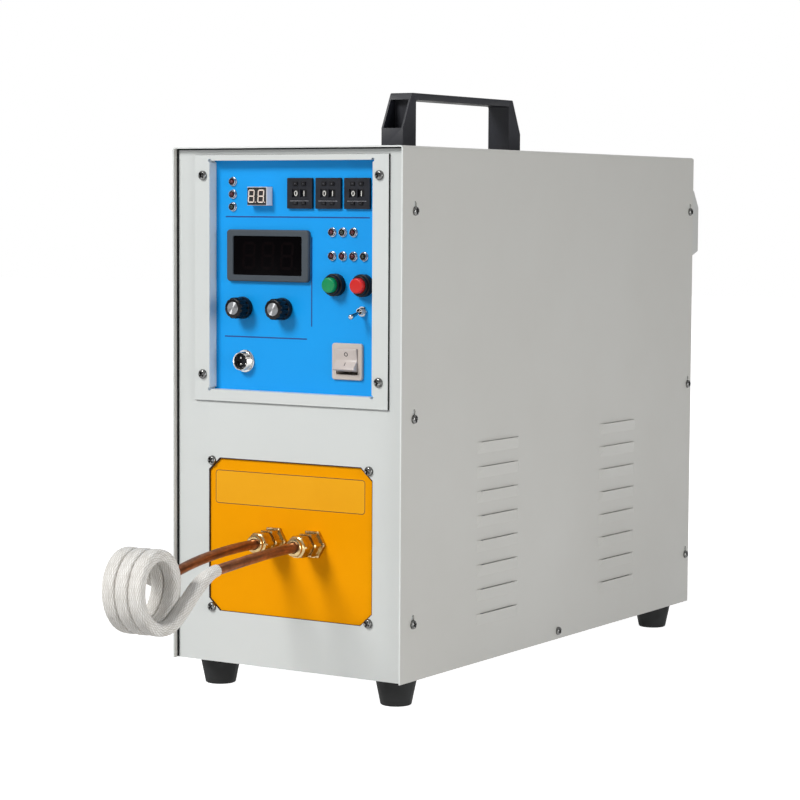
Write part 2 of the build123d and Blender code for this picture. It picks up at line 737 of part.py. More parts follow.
def control_plate():
    outline = rectangle_at(WINDOW_X, WINDOW_Z, PLATE_WIDTH, PLATE_HEIGHT)
    for x in TIMER_X:
        outline -= rectangle_at(x, TIMER_Z, TIMER_BODY[0] + 2 * FIT_GAP, TIMER_BODY[1] + 2 * FIT_GAP)
    outline -= rectangle_at(
        DISPLAY_X, DISPLAY_Z, DISPLAY_SIZE[0] + 2 * FIT_GAP, DISPLAY_SIZE[1] + 2 * FIT_GAP
    )
    outline -= rectangle_at(METER_X, METER_Z, METER_BODY[0] + 2 * FIT_GAP, METER_BODY[1] + 2 * FIT_GAP)
    outline -= rectangle_at(ROCKER_X, ROCKER_Z, ROCKER_BODY[0] + 2 * FIT_GAP, ROCKER_BODY[1] + 2 * FIT_GAP)
    rounds = [(x, z, LAMP_BARREL_RADIUS) for x, z in LAMP_POINTS]
    rounds += [(x, BUTTON_Z, BUTTON_BODY_RADIUS) for x in BUTTON_X]
    rounds += [(x, KNOB_Z, POT_BUSHING_RADIUS) for x in KNOB_X]
    rounds += [(TOGGLE_X, TOGGLE_Z, TOGGLE_BUSHING_RADIUS), (SOCKET_X, SOCKET_Z, SOCKET_SHELL_RADIUS)]
    for x, z, radius in rounds:
        outline -= Pos(x, z) * Circle(radius + FIT_GAP)
    plate = slab(outline, PLATE_DEPTH, PLATE_BACK)
    plate += [rod(STANDOFF_RADIUS, x, z, PANEL_BACK, PLATE_BACK) for x, z in FRAME_SCREW_POINTS]
    return plate - [rod(SCREW_HOLE_RADIUS, x, z, PANEL_BACK, PLATE_BACK) for x, z in FRAME_SCREW_POINTS]


def control_board():
    board = slab(rectangle_at(BOARD_X, BOARD_Z, *BOARD_SIZE), BOARD_DEPTH, BOARD_DEPTH + BOARD_SHEET)
    posts = [rod(BOARD_POST_RADIUS, x, z, PLATE_BACK, BOARD_DEPTH) for x, z in BOARD_POSTS]
    back = BOARD_DEPTH + BOARD_SHEET
    half_width, half_height = BOARD_SIZE[0] / 2, BOARD_SIZE[1] / 2
    parts = [
        slab(rectangle_at(BOARD_X + x * half_width, BOARD_Z + z * half_height, *size[:2]), back, back + size[2])
        for x, z, size in BOARD_BLOCKS
    ]
    parts += [
        rod(BOARD_CAN[0], BOARD_X + x * half_width, BOARD_Z, back, back + BOARD_CAN[1]) for x in BOARD_CAN_PLACES
    ]
    return board + posts + parts


# Pushwheel timers: a case, two digit wheels on one axle, and a button above and below each
WHEEL_DEPTH = PLATE_DEPTH - TIMER_PROUD + WHEEL_WALL + WHEEL_RADIUS + WHEEL_ROOM


def timer_case(x):
    face = PLATE_DEPTH - TIMER_PROUD
    case = slab(rectangle_at(x, TIMER_Z, *TIMER_BEZEL, 0.8), face, PLATE_DEPTH)
    case += slab(rectangle_at(x, TIMER_Z, *TIMER_BODY), PLATE_DEPTH, PLATE_DEPTH + TIMER_BODY_DEPTH)
    half = (WHEEL_WIDTH + WHEEL_ROOM) / 2
    for side in (-1, 1):
        wheel_x = x + side * WHEEL_PITCH / 2
        case -= cross_rod(WHEEL_RADIUS + WHEEL_ROOM, wheel_x - half, wheel_x + half, WHEEL_DEPTH, TIMER_Z)
        case -= slab(rectangle_at(wheel_x, TIMER_Z, 2 * half, WHEEL_WINDOW_HEIGHT), face, WHEEL_DEPTH)
        for end in (-1, 1):
            slot = rectangle_at(
                wheel_x, TIMER_Z + end * PUSH_OFFSET, PUSH_WIDTH + 2 * FIT_GAP, PUSH_HEIGHT + 2 * FIT_GAP
            )
            case -= slab(slot, face, face + PUSH_SLOT_DEPTH)
    reach = WHEEL_PITCH / 2 + half + WHEEL_ROOM
    return case + cross_rod(AXLE_RADIUS, x - reach, x + reach, WHEEL_DEPTH, TIMER_Z)


def digit_wheel(x):
    outline = Rot(0, 0, 180 / WHEEL_FACES) * RegularPolygon(WHEEL_RADIUS, WHEEL_FACES)
    outline -= Circle(AXLE_RADIUS + AXLE_CLEARANCE)
    return side_slab(Pos(WHEEL_DEPTH, TIMER_Z) * outline, x - WHEEL_WIDTH / 2, x + WHEEL_WIDTH / 2)


def push_button(x, end):
    front = PLATE_DEPTH - TIMER_PROUD - PUSH_PROUD
    return slab(rectangle_at(x, TIMER_Z + end * PUSH_OFFSET, PUSH_WIDTH, PUSH_HEIGHT), front, front + PUSH_LENGTH)


def pushwheels():
    nodes = {"timer_cases": group(timer_case(x) for x in TIMER_X)}
    for number, timer_x in enumerate(TIMER_X, 1):
        for side, place in ((-1, "tens"), (1, "units")):
            x = timer_x + side * WHEEL_PITCH / 2
            nodes[f"timer_{number}_{place}_wheel"] = digit_wheel(x)
            nodes[f"timer_{number}_{place}_plus"] = push_button(x, 1)
            nodes[f"timer_{number}_{place}_minus"] = push_button(x, -1)
    return nodes


# Display, lamps and ammeter
def countdown_display():
    front = PLATE_DEPTH - DISPLAY_PROUD
    body = slab(rectangle_at(DISPLAY_X, DISPLAY_Z, *DISPLAY_SIZE), front, PLATE_BACK + DISPLAY_DEPTH)
    return chamfer(body.edges().group_by(Axis.Y)[0], DISPLAY_EDGE)


def lamp_bezel(x, z):
    front = PLATE_DEPTH - LAMP_BEZEL_PROUD
    ring = rod(LAMP_BEZEL_RADIUS, x, z, front, PLATE_DEPTH)
    ring = chamfer(ring.edges().group_by(Axis.Y)[0], LAMP_BEZEL_PROUD / 3)
    ring += rod(LAMP_BARREL_RADIUS, x, z, PLATE_DEPTH, PLATE_DEPTH + LAMP_BARREL_DEPTH)
    return ring - rod(LAMP_LENS_RADIUS + FIT_GAP / 2, x, z, front, PLATE_DEPTH + LAMP_BARREL_DEPTH)


def lamp_lens(x, z):
    front = PLATE_DEPTH - LAMP_LENS_PROUD
    lens = rod(LAMP_LENS_RADIUS, x, z, front, PLATE_DEPTH + LAMP_BARREL_DEPTH)
    return fillet(lens.edges().group_by(Axis.Y)[0], LAMP_LENS_RADIUS / 2)


def ammeter_case():
    front = PLATE_DEPTH - METER_PROUD
    back = PLATE_DEPTH + METER_BODY_DEPTH
    case = slab(rectangle_at(METER_X, METER_Z, *METER_BEZEL, METER_ROUND), front, PLATE_DEPTH)
    case = chamfer(case.edges().group_by(Axis.Y)[0], METER_WINDOW_SET / 2)
    case += slab(rectangle_at(METER_X, METER_Z, *METER_BODY), PLATE_DEPTH, back)
    seat = front + METER_WINDOW_SET + METER_WINDOW_SHEET
    opening = rectangle_at(METER_X, METER_Z, *METER_WINDOW, METER_WINDOW_ROUND)
    case -= slab(opening, front, seat)
    pocket = rectangle_at(
        METER_X, METER_Z, METER_WINDOW[0] - 2 * METER_LEDGE, METER_WINDOW[1] - 2 * METER_LEDGE
    )
    return case - slab(pocket, seat, seat + METER_POCKET)


def ammeter_window():
    front = PLATE_DEPTH - METER_PROUD + METER_WINDOW_SET
    pane = rectangle_at(
        METER_X,
        METER_Z,
        METER_WINDOW[0] - 2 * FIT_GAP,
        METER_WINDOW[1] - 2 * FIT_GAP,
        METER_WINDOW_ROUND - FIT_GAP,
    )
    return slab(pane, front, front + METER_WINDOW_SHEET)


# Start and stop buttons
def button_housing(x):
    bezel_front = PLATE_DEPTH - BUTTON_BEZEL_PROUD
    collar_front = PLATE_DEPTH - BUTTON_COLLAR_PROUD
    back = PLATE_DEPTH + BUTTON_BODY_DEPTH
    bezel = rod(BUTTON_BEZEL_RADIUS, x, BUTTON_Z, bezel_front, PLATE_DEPTH)
    bezel = chamfer(bezel.edges().group_by(Axis.Y)[0], BUTTON_CAP_ROUND)
    housing = bezel + rod(BUTTON_COLLAR_RADIUS, x, BUTTON_Z, collar_front, bezel_front)
    housing += rod(BUTTON_BODY_RADIUS, x, BUTTON_Z, PLATE_DEPTH, back)
    cap_room = rod(BUTTON_CAP_RADIUS + BUTTON_CAP_GAP, x, BUTTON_Z, collar_front, PLATE_DEPTH - BUTTON_CAP_ROUND)
    stem_room = rod(BUTTON_STEM_RADIUS + BUTTON_CAP_GAP, x, BUTTON_Z, collar_front, back)
    return housing - cap_room - stem_room


def button_cap(x):
    front = PLATE_DEPTH - BUTTON_CAP_PROUD
    cap_back = PLATE_DEPTH - BUTTON_CAP_ROUND - BUTTON_TRAVEL - FIT_GAP
    cap = rod(BUTTON_CAP_RADIUS, x, BUTTON_Z, front, cap_back)
    cap = fillet(cap.edges().group_by(Axis.Y)[0], BUTTON_CAP_ROUND)
    stem_back = PLATE_DEPTH + BUTTON_BODY_DEPTH - BUTTON_TRAVEL
    return cap + rod(BUTTON_STEM_RADIUS, x, BUTTON_Z, cap_back, stem_back)


# Knobs on their potentiometers
def knob(x):
    """A fluted knob with its metal cap, and the shaft that it is pressed on."""
    back = PLATE_DEPTH - KNOB_FOOT
    front = back - KNOB_LENGTH
    grip = rod(KNOB_RADIUS, x, KNOB_Z, front, back)
    grip = chamfer(grip.edges().group_by(Axis.Y)[0], KNOB_CAP_PROUD)
    for step in range(KNOB_FLUTES):
        angle = 2 * pi * step / KNOB_FLUTES
        flute_x = x + KNOB_RADIUS * cos(angle)
        grip -= rod(KNOB_FLUTE_RADIUS, flute_x, KNOB_Z + KNOB_RADIUS * sin(angle), front, back)
    grip += rod(KNOB_CAP_RADIUS, x, KNOB_Z, front - KNOB_CAP_PROUD, front)
    grip -= rod(KNOB_SKIRT_RADIUS, x, KNOB_Z, back - KNOB_SKIRT_DEPTH, back)
    shaft_front = back - KNOB_SHAFT_SOCKET
    grip -= rod(KNOB_SHAFT_RADIUS, x, KNOB_Z, shaft_front, back)
    shaft_back = PLATE_BACK + POT_CAN_DEPTH / 2
    return group([grip, rod(KNOB_SHAFT_RADIUS, x, KNOB_Z, shaft_front, shaft_back)])


def potentiometer(x):
    """Bushing through the plate, nut in front of it and can behind it."""
    front = PLATE_DEPTH - POT_BUSHING_PROUD
    nut = hexagon(POT_NUT_ACROSS, x, KNOB_Z, PLATE_DEPTH - POT_NUT_HEIGHT, PLATE_DEPTH)
    pot = nut + rod(POT_BUSHING_RADIUS, x, KNOB_Z, front, PLATE_BACK)
    pot += rod(POT_CAN_RADIUS, x, KNOB_Z, PLATE_BACK, PLATE_BACK + POT_CAN_DEPTH)
    room = PLATE_BACK + POT_CAN_DEPTH / 2 + FIT_GAP
    return pot - rod(KNOB_SHAFT_RADIUS + SHAFT_CLEARANCE, x, KNOB_Z, front, room)


# Toggle switch
TOGGLE_PIVOT = PLATE_DEPTH - TOGGLE_PIVOT_PROUD


def toggle_body():
    width, height, depth = TOGGLE_BODY
    body = slab(rectangle_at(TOGGLE_X, TOGGLE_Z, width, depth), PLATE_BACK, PLATE_BACK + height)
    front = PLATE_DEPTH - TOGGLE_BUSHING_PROUD
    body += rod(TOGGLE_BUSHING_RADIUS, TOGGLE_X, TOGGLE_Z, front, PLATE_BACK)
    nut_front = PLATE_DEPTH - TOGGLE_NUT_HEIGHT
    body += hexagon(TOGGLE_NUT_ACROSS, TOGGLE_X, TOGGLE_Z, nut_front, PLATE_DEPTH)
    return body - rod(TOGGLE_BUSHING_BORE, TOGGLE_X, TOGGLE_Z, front, PLATE_BACK)


def toggle_lever():
    """A ball in the bushing and a lever that thickens to its tip, tilted down."""
    profile = make_face(
        Polyline(
            (0, 0),
            (TOGGLE_LEVER_RADIUS, 0),
            (TOGGLE_LEVER_RADIUS, TOGGLE_BUSHING_PROUD),
            (TOGGLE_TIP_RADIUS, TOGGLE_LEVER_LENGTH - TOGGLE_TIP_RADIUS),
            (TOGGLE_TIP_RADIUS / 2, TOGGLE_LEVER_LENGTH),
            (0, TOGGLE_LEVER_LENGTH),
            close=True,
        )
    )
    lever = revolve(profile, axis=Axis.Y) + Sphere(TOGGLE_BALL_RADIUS)
    aim = Rot(180 + TOGGLE_TILT, 0, 0)
    return Pos(TOGGLE_X, TOGGLE_PIVOT, TOGGLE_Z) * aim * lever


# Rocker switch
ROCKER_PIVOT = PLATE_DEPTH - ROCKER_PROUD + ROCKER_PIVOT_DEPTH


def rocker_frame():
    front = PLATE_DEPTH - ROCKER_PROUD
    frame = slab(rectangle_at(ROCKER_X, ROCKER_Z, *ROCKER_BEZEL, ROCKER_BEZEL_ROUND), front, PLATE_DEPTH)
    frame = chamfer(frame.edges().group_by(Axis.Y)[0], DISPLAY_EDGE)
    frame += slab(rectangle_at(ROCKER_X, ROCKER_Z, *ROCKER_BODY), PLATE_DEPTH, PLATE_DEPTH + ROCKER_BODY_DEPTH)
    frame -= slab(rectangle_at(ROCKER_X, ROCKER_Z, *ROCKER_WELL), front, front + ROCKER_WELL_DEPTH)
    reach = ROCKER_PADDLE_WIDTH / 2 + ROCKER_PIN_LENGTH + FIT_GAP
    return frame - cross_rod(
        ROCKER_PIN_RADIUS + AXLE_CLEARANCE, ROCKER_X - reach, ROCKER_X + reach, ROCKER_PIVOT, ROCKER_Z
    )


def rocker_paddle():
    """The paddle's side outline about its pivot, then tilted so that its top is pressed."""
    outline = [(ROCKER_MIDDLE, 0)]
    for along, out in (ROCKER_NOSE, ROCKER_SHOULDER, ROCKER_TAIL):
        outline.append((out, along))
    for along, out in (ROCKER_TAIL, ROCKER_SHOULDER, ROCKER_NOSE):
        outline.append((out, -along))
    points = [(-(out + ROCKER_PIVOT_DEPTH), along) for out, along in outline]
    half = ROCKER_PADDLE_WIDTH / 2
    paddle = side_slab(make_face(Polyline(*points, close=True)), -half, half)
    pin = half + ROCKER_PIN_LENGTH
    paddle += cross_rod(ROCKER_PIN_RADIUS, -pin, pin, 0, 0)
    return Pos(ROCKER_X, ROCKER_PIVOT, ROCKER_Z) * Rot(-ROCKER_TILT, 0, 0) * paddle


# Pedal socket
def pedal_socket():
    front = PLATE_DEPTH - SOCKET_PROUD
    back = PLATE_BACK + SOCKET_BODY_DEPTH
    shell = rod(SOCKET_SHELL_RADIUS, SOCKET_X, SOCKET_Z, front, back)
    flange_front = PLATE_DEPTH - SOCKET_FLANGE_PROUD
    shell += rod(SOCKET_FLANGE_RADIUS, SOCKET_X, SOCKET_Z, flange_front, PLATE_DEPTH)
    return shell - rod(SOCKET_BORE_RADIUS, SOCKET_X, SOCKET_Z, front, back)


def pedal_socket_insert():
    front = PLATE_DEPTH - SOCKET_PROUD + SOCKET_INSERT_SET
    insert = rod(SOCKET_BORE_RADIUS - FIT_GAP / 2, SOCKET_X, SOCKET_Z, front, PLATE_BACK + SOCKET_BODY_DEPTH)
    for step in range(SOCKET_PINS):
        angle = radians(45) + 2 * pi * step / SOCKET_PINS
        pin_x = SOCKET_X + SOCKET_PIN_CIRCLE * cos(angle)
        pin_z = SOCKET_Z + SOCKET_PIN_CIRCLE * sin(angle)
        insert += rod(SOCKET_PIN_RADIUS, pin_x, pin_z, front - SOCKET_PIN_LENGTH, front)
    return insert


# Output board and fittings
def output_board():
    outline = rectangle_at(OUTPUT_X, OUTPUT_Z, *OUTPUT_BOARD)
    for x, z in OUTPUT_SCREW_POINTS:
        outline -= Pos(x, z) * Circle(SCREW_HOLE_RADIUS)
    for x in FITTING_POINTS:
        outline -= Pos(x, FITTING_Z) * Circle(FITTING_THREAD_RADIUS + FIT_GAP)
    return slab(outline, PANEL_BACK, PANEL_BACK + OUTPUT_BOARD_SHEET)


HEX_FRONT = PANEL_BACK - FITTING_FLANGE_HEIGHT - FITTING_HEX_LENGTH
NUT_FRONT = HEX_FRONT - FLARE_NUT_LENGTH
THREAD_END = PANEL_BACK + OUTPUT_BOARD_SHEET + FITTING_THREAD_INSIDE


def output_fitting(x):
    flange_front = PANEL_BACK - FITTING_FLANGE_HEIGHT
    body = hexagon(FITTING_HEX_ACROSS, x, FITTING_Z, HEX_FRONT, flange_front)
    body = chamfer(body.edges().group_by(Axis.Y)[0], FITTING_CHAMFER / 2)
    body += hexagon(FITTING_FLANGE_ACROSS, x, FITTING_Z, flange_front, PANEL_BACK)
    body += rod(FITTING_THREAD_RADIUS, x, FITTING_Z, PANEL_BACK, THREAD_END)
    return body - rod(TUBE_RADIUS - FITTING_CHAMFER, x, FITTING_Z, HEX_FRONT, THREAD_END)


def flare_nut(x):
    cone_back = NUT_FRONT + FLARE_NUT_CONE
    nut = hexagon(FLARE_NUT_ACROSS, x, FITTING_Z, cone_back, HEX_FRONT)
    nut = chamfer(nut.edges().group_by(Axis.Y)[0], FITTING_CHAMFER)
    nut += rod(FLARE_NUT_ACROSS / 2 - FITTING_CHAMFER, x, FITTING_Z, NUT_FRONT, cone_back)
    return nut - rod(TUBE_RADIUS + FIT_GAP, x, FITTING_Z, NUT_FRONT, HEX_FRONT)


def lock_nut(x):
    front = PANEL_BACK + OUTPUT_BOARD_SHEET
    nut = hexagon(FITTING_FLANGE_ACROSS, x, FITTING_Z, front, front + LOCK_NUT_HEIGHT)
    return nut - rod(FITTING_THREAD_RADIUS + FIT_GAP, x, FITTING_Z, front, front + LOCK_NUT_HEIGHT)


# Work coil: one copper tube, wound from the right lead's end to the left one's
def winding(turn):
    """Point and direction of the tube's centre line; turn 0 is the lowest point on the right."""
    angle = 2 * pi * turn
    yaw = radians(COIL_YAW)
    across, back, up = -COIL_PITCH * turn, -COIL_RADIUS * sin(angle), -COIL_RADIUS * cos(angle)
    run_across = -COIL_PITCH / (2 * pi)
    run_back, run_up = -COIL_RADIUS * cos(angle), COIL_RADIUS * sin(angle)
    point = Vector(across * cos(yaw) - back * sin(yaw), across * sin(yaw) + back * cos(yaw), up)
    along = Vector(
        run_across * cos(yaw) - run_back * sin(yaw), run_across * sin(yaw) + run_back * cos(yaw), run_up
    )
    return Vector(*COIL_START) + point, along.normalized()


def biarc(start, start_way, end, end_way):
    """Two arcs from one point and direction to another, tangent where they meet."""
    chord = end - start
    ways = start_way + end_way
    bend = 2 * (1 - start_way.dot(end_way))
    reach = (sqrt(chord.dot(ways) ** 2 + bend * chord.dot(chord)) - chord.dot(ways)) / bend
    near, far = start + start_way * reach, end - end_way * reach
    middle = (near + far) * 0.5
    return [TangentArc(start, middle, tangent=start_way), TangentArc(middle, end, tangent=far - near)]


def coil_stations():
    """Points and directions along the tube, from inside the right nut to inside the left one."""
    forward, backward = Vector(0, -1, 0), Vector(0, 1, 0)
    seat = NUT_FRONT + TUBE_SEAT
    left_x, right_x = FITTING_POINTS
    stations = [(Vector(right_x, NUT_FRONT, FITTING_Z), forward)]
    stations.append((Vector(*LEAD_BEND), Vector(0, -1, LEAD_BEND_SLOPE).normalized()))
    first, last = COIL_FIRST_TURN, COIL_LAST_TURN
    turns = [first] + [quarter / 4 for quarter in range(int(last * 4) + 1) if quarter / 4 > first]
    if last - turns[-1] > 0.05:
        turns.append(last)
    stations += [winding(turn) for turn in turns]
    stations.append((Vector(*LEFT_LEAD_LOW), Vector(LEFT_LEAD_DRIFT, 1, LEFT_LEAD_SLOPE).normalized()))
    stations.append((Vector(left_x, NUT_FRONT, FITTING_Z), backward))
    return stations, Vector(right_x, seat, FITTING_Z), Vector(left_x, seat, FITTING_Z)


def coil_path(sleeved):
    """The tube's centre line, or only the stretch that the sleeve covers."""
    stations, right_seat, left_seat = coil_stations()
    if sleeved:
        stations = stations[1:-1]
    edges = []
    for (start, start_way), (end, end_way) in zip(stations, stations[1:]):
        edges += biarc(start, start_way, end, end_way)
    if not sleeved:
        edges = [Line(right_seat, stations[0][0])] + edges + [Line(stations[-1][0], left_seat)]
    return Wire(edges)


def along_path(path, outer, inner=0.0):
    """A round section swept along a path, hollow where an inner radius is given."""
    face = Circle(outer) - Circle(inner) if inner else Circle(outer)
    return sweep(Plane(origin=path @ 0, z_dir=path % 0) * face, path=path)


def winding_gap():
    """Least gap between neighbouring turns of the sleeve, measured on points."""
    steps = 96
    count = int((COIL_LAST_TURN - COIL_FIRST_TURN) * steps)
    points = [winding(COIL_FIRST_TURN + step / steps)[0] for step in range(count)]
    least = min(
        (points[i] - points[j]).length
        for i in range(count)
        for j in range(i + steps // 2, min(count, i + 3 * steps // 2))
    )
    return least - 2 * SLEEVE_RADIUS


# Output transformer behind the fittings
def output_transformer():
    width, depth, height = TERMINAL_BLOCK
    front = PANEL_BACK + OUTPUT_BOARD_SHEET + LOCK_NUT_HEIGHT
    solids = []
    for x in FITTING_POINTS:
        block = slab(rectangle_at(x, FITTING_Z, width, height), front, front + depth)
        block -= rod(FITTING_THREAD_RADIUS + TERMINAL_BORE_GAP, x, FITTING_Z, front, THREAD_END)
        top = FITTING_Z + height / 2
        block += post(NIPPLE_RADIUS, x, front + depth / 2, top, top + NIPPLE_HEIGHT)
        strap_width, strap_depth, strap_height = STRAP
        strap_x = x + (x - FITTING_X) / 4
        block += slab(
            rectangle_at(strap_x, FITTING_Z - height / 2 + strap_height / 2, strap_width, strap_height),
            front + depth,
            front + depth + strap_depth,
        )
        solids.append(block)
    core_front = front + depth + STRAP[1]
    core = slab(rectangle_at(FITTING_X, FITTING_Z, CORE_WIDTH, CORE_HEIGHT), core_front, core_front + CORE_DEPTH)
    for side in (-1, 1):
        window_x = FITTING_X + side * (CORE_LEG + CORE_WINDOW[0]) / 2
        core -= slab(rectangle_at(window_x, FITTING_Z, *CORE_WINDOW), core_front, core_front + CORE_DEPTH)
    solids.append(core)
    gap = SEAM_GAP
    inner = Rectangle(CORE_LEG + 2 * gap, CORE_DEPTH + 2 * gap)
    outer = RectangleRounded(CORE_LEG + 2 * WINDING_WALL, CORE_DEPTH + 2 * WINDING_WALL, WINDING_WALL / 2)
    winding_height = CORE_WINDOW[1] - 2 * gap
    low = FITTING_Z - winding_height / 2
    coil = extrude(Pos(FITTING_X, core_front + CORE_DEPTH / 2, low) * (outer - inner), amount=winding_height)
    solids.append(coil)
    floor = FITTING_Z - CORE_HEIGHT / 2
    for side in (-1, 1):
        solids.append(
            post(POST_RADIUS, FITTING_X + side * POST_SPREAD / 2, core_front + CORE_DEPTH / 2, CHASSIS_SHEET, floor)
        )
    return group(solids)


# Tank capacitors between two copper plates, on posts
def capacitor_bank():
    solids = []
    width = TANK_COLUMNS * TANK_PITCH
    rows = (TANK_Z - TANK_PITCH / 2, TANK_Z + TANK_PITCH / 2)
    columns = [FITTING_X + (step - (TANK_COLUMNS - 1) / 2) * TANK_PITCH for step in range(TANK_COLUMNS)]
    for front in (TANK_START, TANK_START + TANK_PLATE + TANK_LENGTH):
        plate = slab(rectangle_at(FITTING_X, TANK_Z, width, 2 * TANK_PITCH, 3), front, front + TANK_PLATE)
        solids.append(plate)
        for side in (-1, 1):
            x = FITTING_X + side * (width / 2 - POST_RADIUS)
            y = front + TANK_PLATE / 2
            solids.append(post(POST_RADIUS, x, y, CHASSIS_SHEET, TANK_Z - TANK_PITCH))
    for x in columns:
        for z in rows:
            solids.append(rod(TANK_RADIUS, x, z, TANK_START + TANK_PLATE, TANK_START + TANK_PLATE + TANK_LENGTH))
    return group(solids)


# Inverter heatsink with its power modules
def inverter_heatsink():
    middle = SINK_START + SINK_LENGTH / 2
    low = CHASSIS_SHEET
    base = Pos(SINK_X, middle, low + SINK_HEIGHT / 2) * Box(SINK_BASE, SINK_LENGTH, SINK_HEIGHT)
    pitch = (SINK_LENGTH - SINK_FIN_SHEET) / (SINK_FINS - 1)
    for fin in range(SINK_FINS):
        y = SINK_START + SINK_FIN_SHEET / 2 + fin * pitch
        x = SINK_X - (SINK_BASE + SINK_FIN_REACH) / 2
        base += Pos(x, y, low + SINK_HEIGHT / 2) * Box(SINK_FIN_REACH, SINK_FIN_SHEET, SINK_HEIGHT)
    solids = [base]
    width, depth, height = MODULE_SIZE
    for step in range(MODULE_COUNT):
        y = middle + (step - (MODULE_COUNT - 1) / 2) * (depth + width / 2)
        solids.append(Pos(SINK_X + (SINK_BASE + width) / 2, y, low + SINK_HEIGHT / 2) * Box(width, depth, height))
    return group(solids)


# Fan on the inside of the rear panel
FAN_FRONT = REAR_INSIDE - FAN_DEPTH
HUB_FRONT = REAR_INSIDE - FAN_SPOKE_DEPTH - FAN_RUN_GAP - FAN_HUB_DEPTH


def fan_frame():
    frame = slab(rectangle_at(FAN_X, FAN_Z, FAN_SIZE, FAN_SIZE, 5) - Pos(FAN_X, FAN_Z) * Circle(FAN_DUCT_RADIUS), FAN_FRONT, REAR_INSIDE)
    spokes = Circle(FAN_HUB_RADIUS)
    for angle in (0, 60, 120):
        spokes += Rot(0, 0, angle) * Rectangle(2 * FAN_DUCT_RADIUS + FAN_TIP_GAP, FAN_SPOKE_WIDTH)
    frame += slab(Pos(FAN_X, FAN_Z) * spokes, REAR_INSIDE - FAN_SPOKE_DEPTH, REAR_INSIDE)
    return frame + rod(FAN_SHAFT_RADIUS, FAN_X, FAN_Z, HUB_FRONT + FAN_SPOKE_DEPTH, REAR_INSIDE)


def fan_rotor():
    hub_back = HUB_FRONT + FAN_HUB_DEPTH
    rotor = slab(Circle(FAN_HUB_RADIUS), HUB_FRONT, hub_back)
    rotor = fillet(rotor.edges().group_by(Axis.Y)[0], FAN_BLADE_SHEET)
    reach = FAN_DUCT_RADIUS - FAN_TIP_GAP
    middle = (HUB_FRONT + hub_back) / 2
    length = reach - FAN_HUB_RADIUS + FAN_BLADE_SHEET
    blade = Box(length, FAN_BLADE_SHEET, FAN_BLADE_CHORD, align=(Align.MIN, Align.CENTER, Align.CENTER))
    blade = Pos(FAN_HUB_RADIUS - FAN_BLADE_SHEET, middle, 0) * Rot(FAN_BLADE_PITCH, 0, 0) * blade
    blade &= slab(Circle(reach), HUB_FRONT, hub_back)
    rotor += [Rot(0, 360 * step / FAN_BLADES, 0) * blade for step in range(FAN_BLADES)]
    rotor -= slab(Circle(FAN_SHAFT_RADIUS + AXLE_CLEARANCE), HUB_FRONT + FAN_SPOKE_DEPTH, hub_back)
    return Pos(FAN_X, 0, FAN_Z) * rotor


# Water spigots through the rear panel, and the hoses from them to the terminal blocks
def spigot(x):
    hex_back = REAR_FACE + SPIGOT_HEX_HEIGHT
    ridge_end = hex_back + SPIGOT_RIDGES * SPIGOT_RIDGE_PITCH
    tip = ridge_end + SPIGOT_PILOT
    inside = REAR_INSIDE - SPIGOT_INSIDE
    body = hexagon(SPIGOT_HEX_ACROSS, x, SPIGOT_Z, REAR_FACE, hex_back)
    body += rod(SPIGOT_THREAD_RADIUS, x, SPIGOT_Z, REAR_INSIDE - LOCK_NUT_HEIGHT, REAR_FACE)
    body += hexagon(SPIGOT_HEX_ACROSS, x, SPIGOT_Z, REAR_INSIDE - LOCK_NUT_HEIGHT, REAR_INSIDE)
    body += rod(SPIGOT_RADIUS, x, SPIGOT_Z, inside, tip)
    for ridge in range(SPIGOT_RIDGES):
        start = hex_back + ridge * SPIGOT_RIDGE_PITCH
        cone = Cone(SPIGOT_RIDGE_RADIUS, SPIGOT_RADIUS, SPIGOT_RIDGE_PITCH, align=(Align.CENTER, Align.CENTER, Align.MIN))
        body += Pos(x, start, SPIGOT_Z) * Rot(-90, 0, 0) * cone
    return body - rod(SPIGOT_BORE, x, SPIGOT_Z, inside, tip)


def water_hose(block_x, spigot_x):
    block_top = FITTING_Z + TERMINAL_BLOCK[2] / 2
    block_y = PANEL_BACK + OUTPUT_BOARD_SHEET + LOCK_NUT_HEIGHT + TERMINAL_BLOCK[1] / 2
    spigot_y = REAR_INSIDE - LOCK_NUT_HEIGHT
    route = FilletPolyline(
        (block_x, block_y, block_top),
        (block_x, block_y, HOSE_RUN_Z),
        (spigot_x, spigot_y - SPIGOT_INSIDE - HOSE_DROP, HOSE_RUN_Z),
        (spigot_x, spigot_y - SPIGOT_INSIDE - HOSE_DROP, SPIGOT_Z),
        (spigot_x, spigot_y, SPIGOT_Z),
        radius=HOSE_BEND,
    )
    return along_path(Wire(route.edges()), HOSE_RADIUS, HOSE_BORE)


# Terminal hood on the rear panel, with the gland for the mains cable in its floor
HOOD_BACK = REAR_FACE + HOOD_REACH
HOOD_BACK_LOW = HOOD_BACK - HOOD_SHEET


def hood_outline(inset):
    low, top, back = HOOD_FLOOR + inset, HOOD_TOP - inset, HOOD_BACK - inset
    return make_face(
        Polyline(
            (REAR_FACE, low),
            (REAR_FACE, top),
            (back - HOOD_SHOULDER, top),
            (back, top - 1.5 * HOOD_SHOULDER),
            (back, low + HOOD_CHIN),
            (back - HOOD_SHOULDER, low),
            close=True,
        )
    )


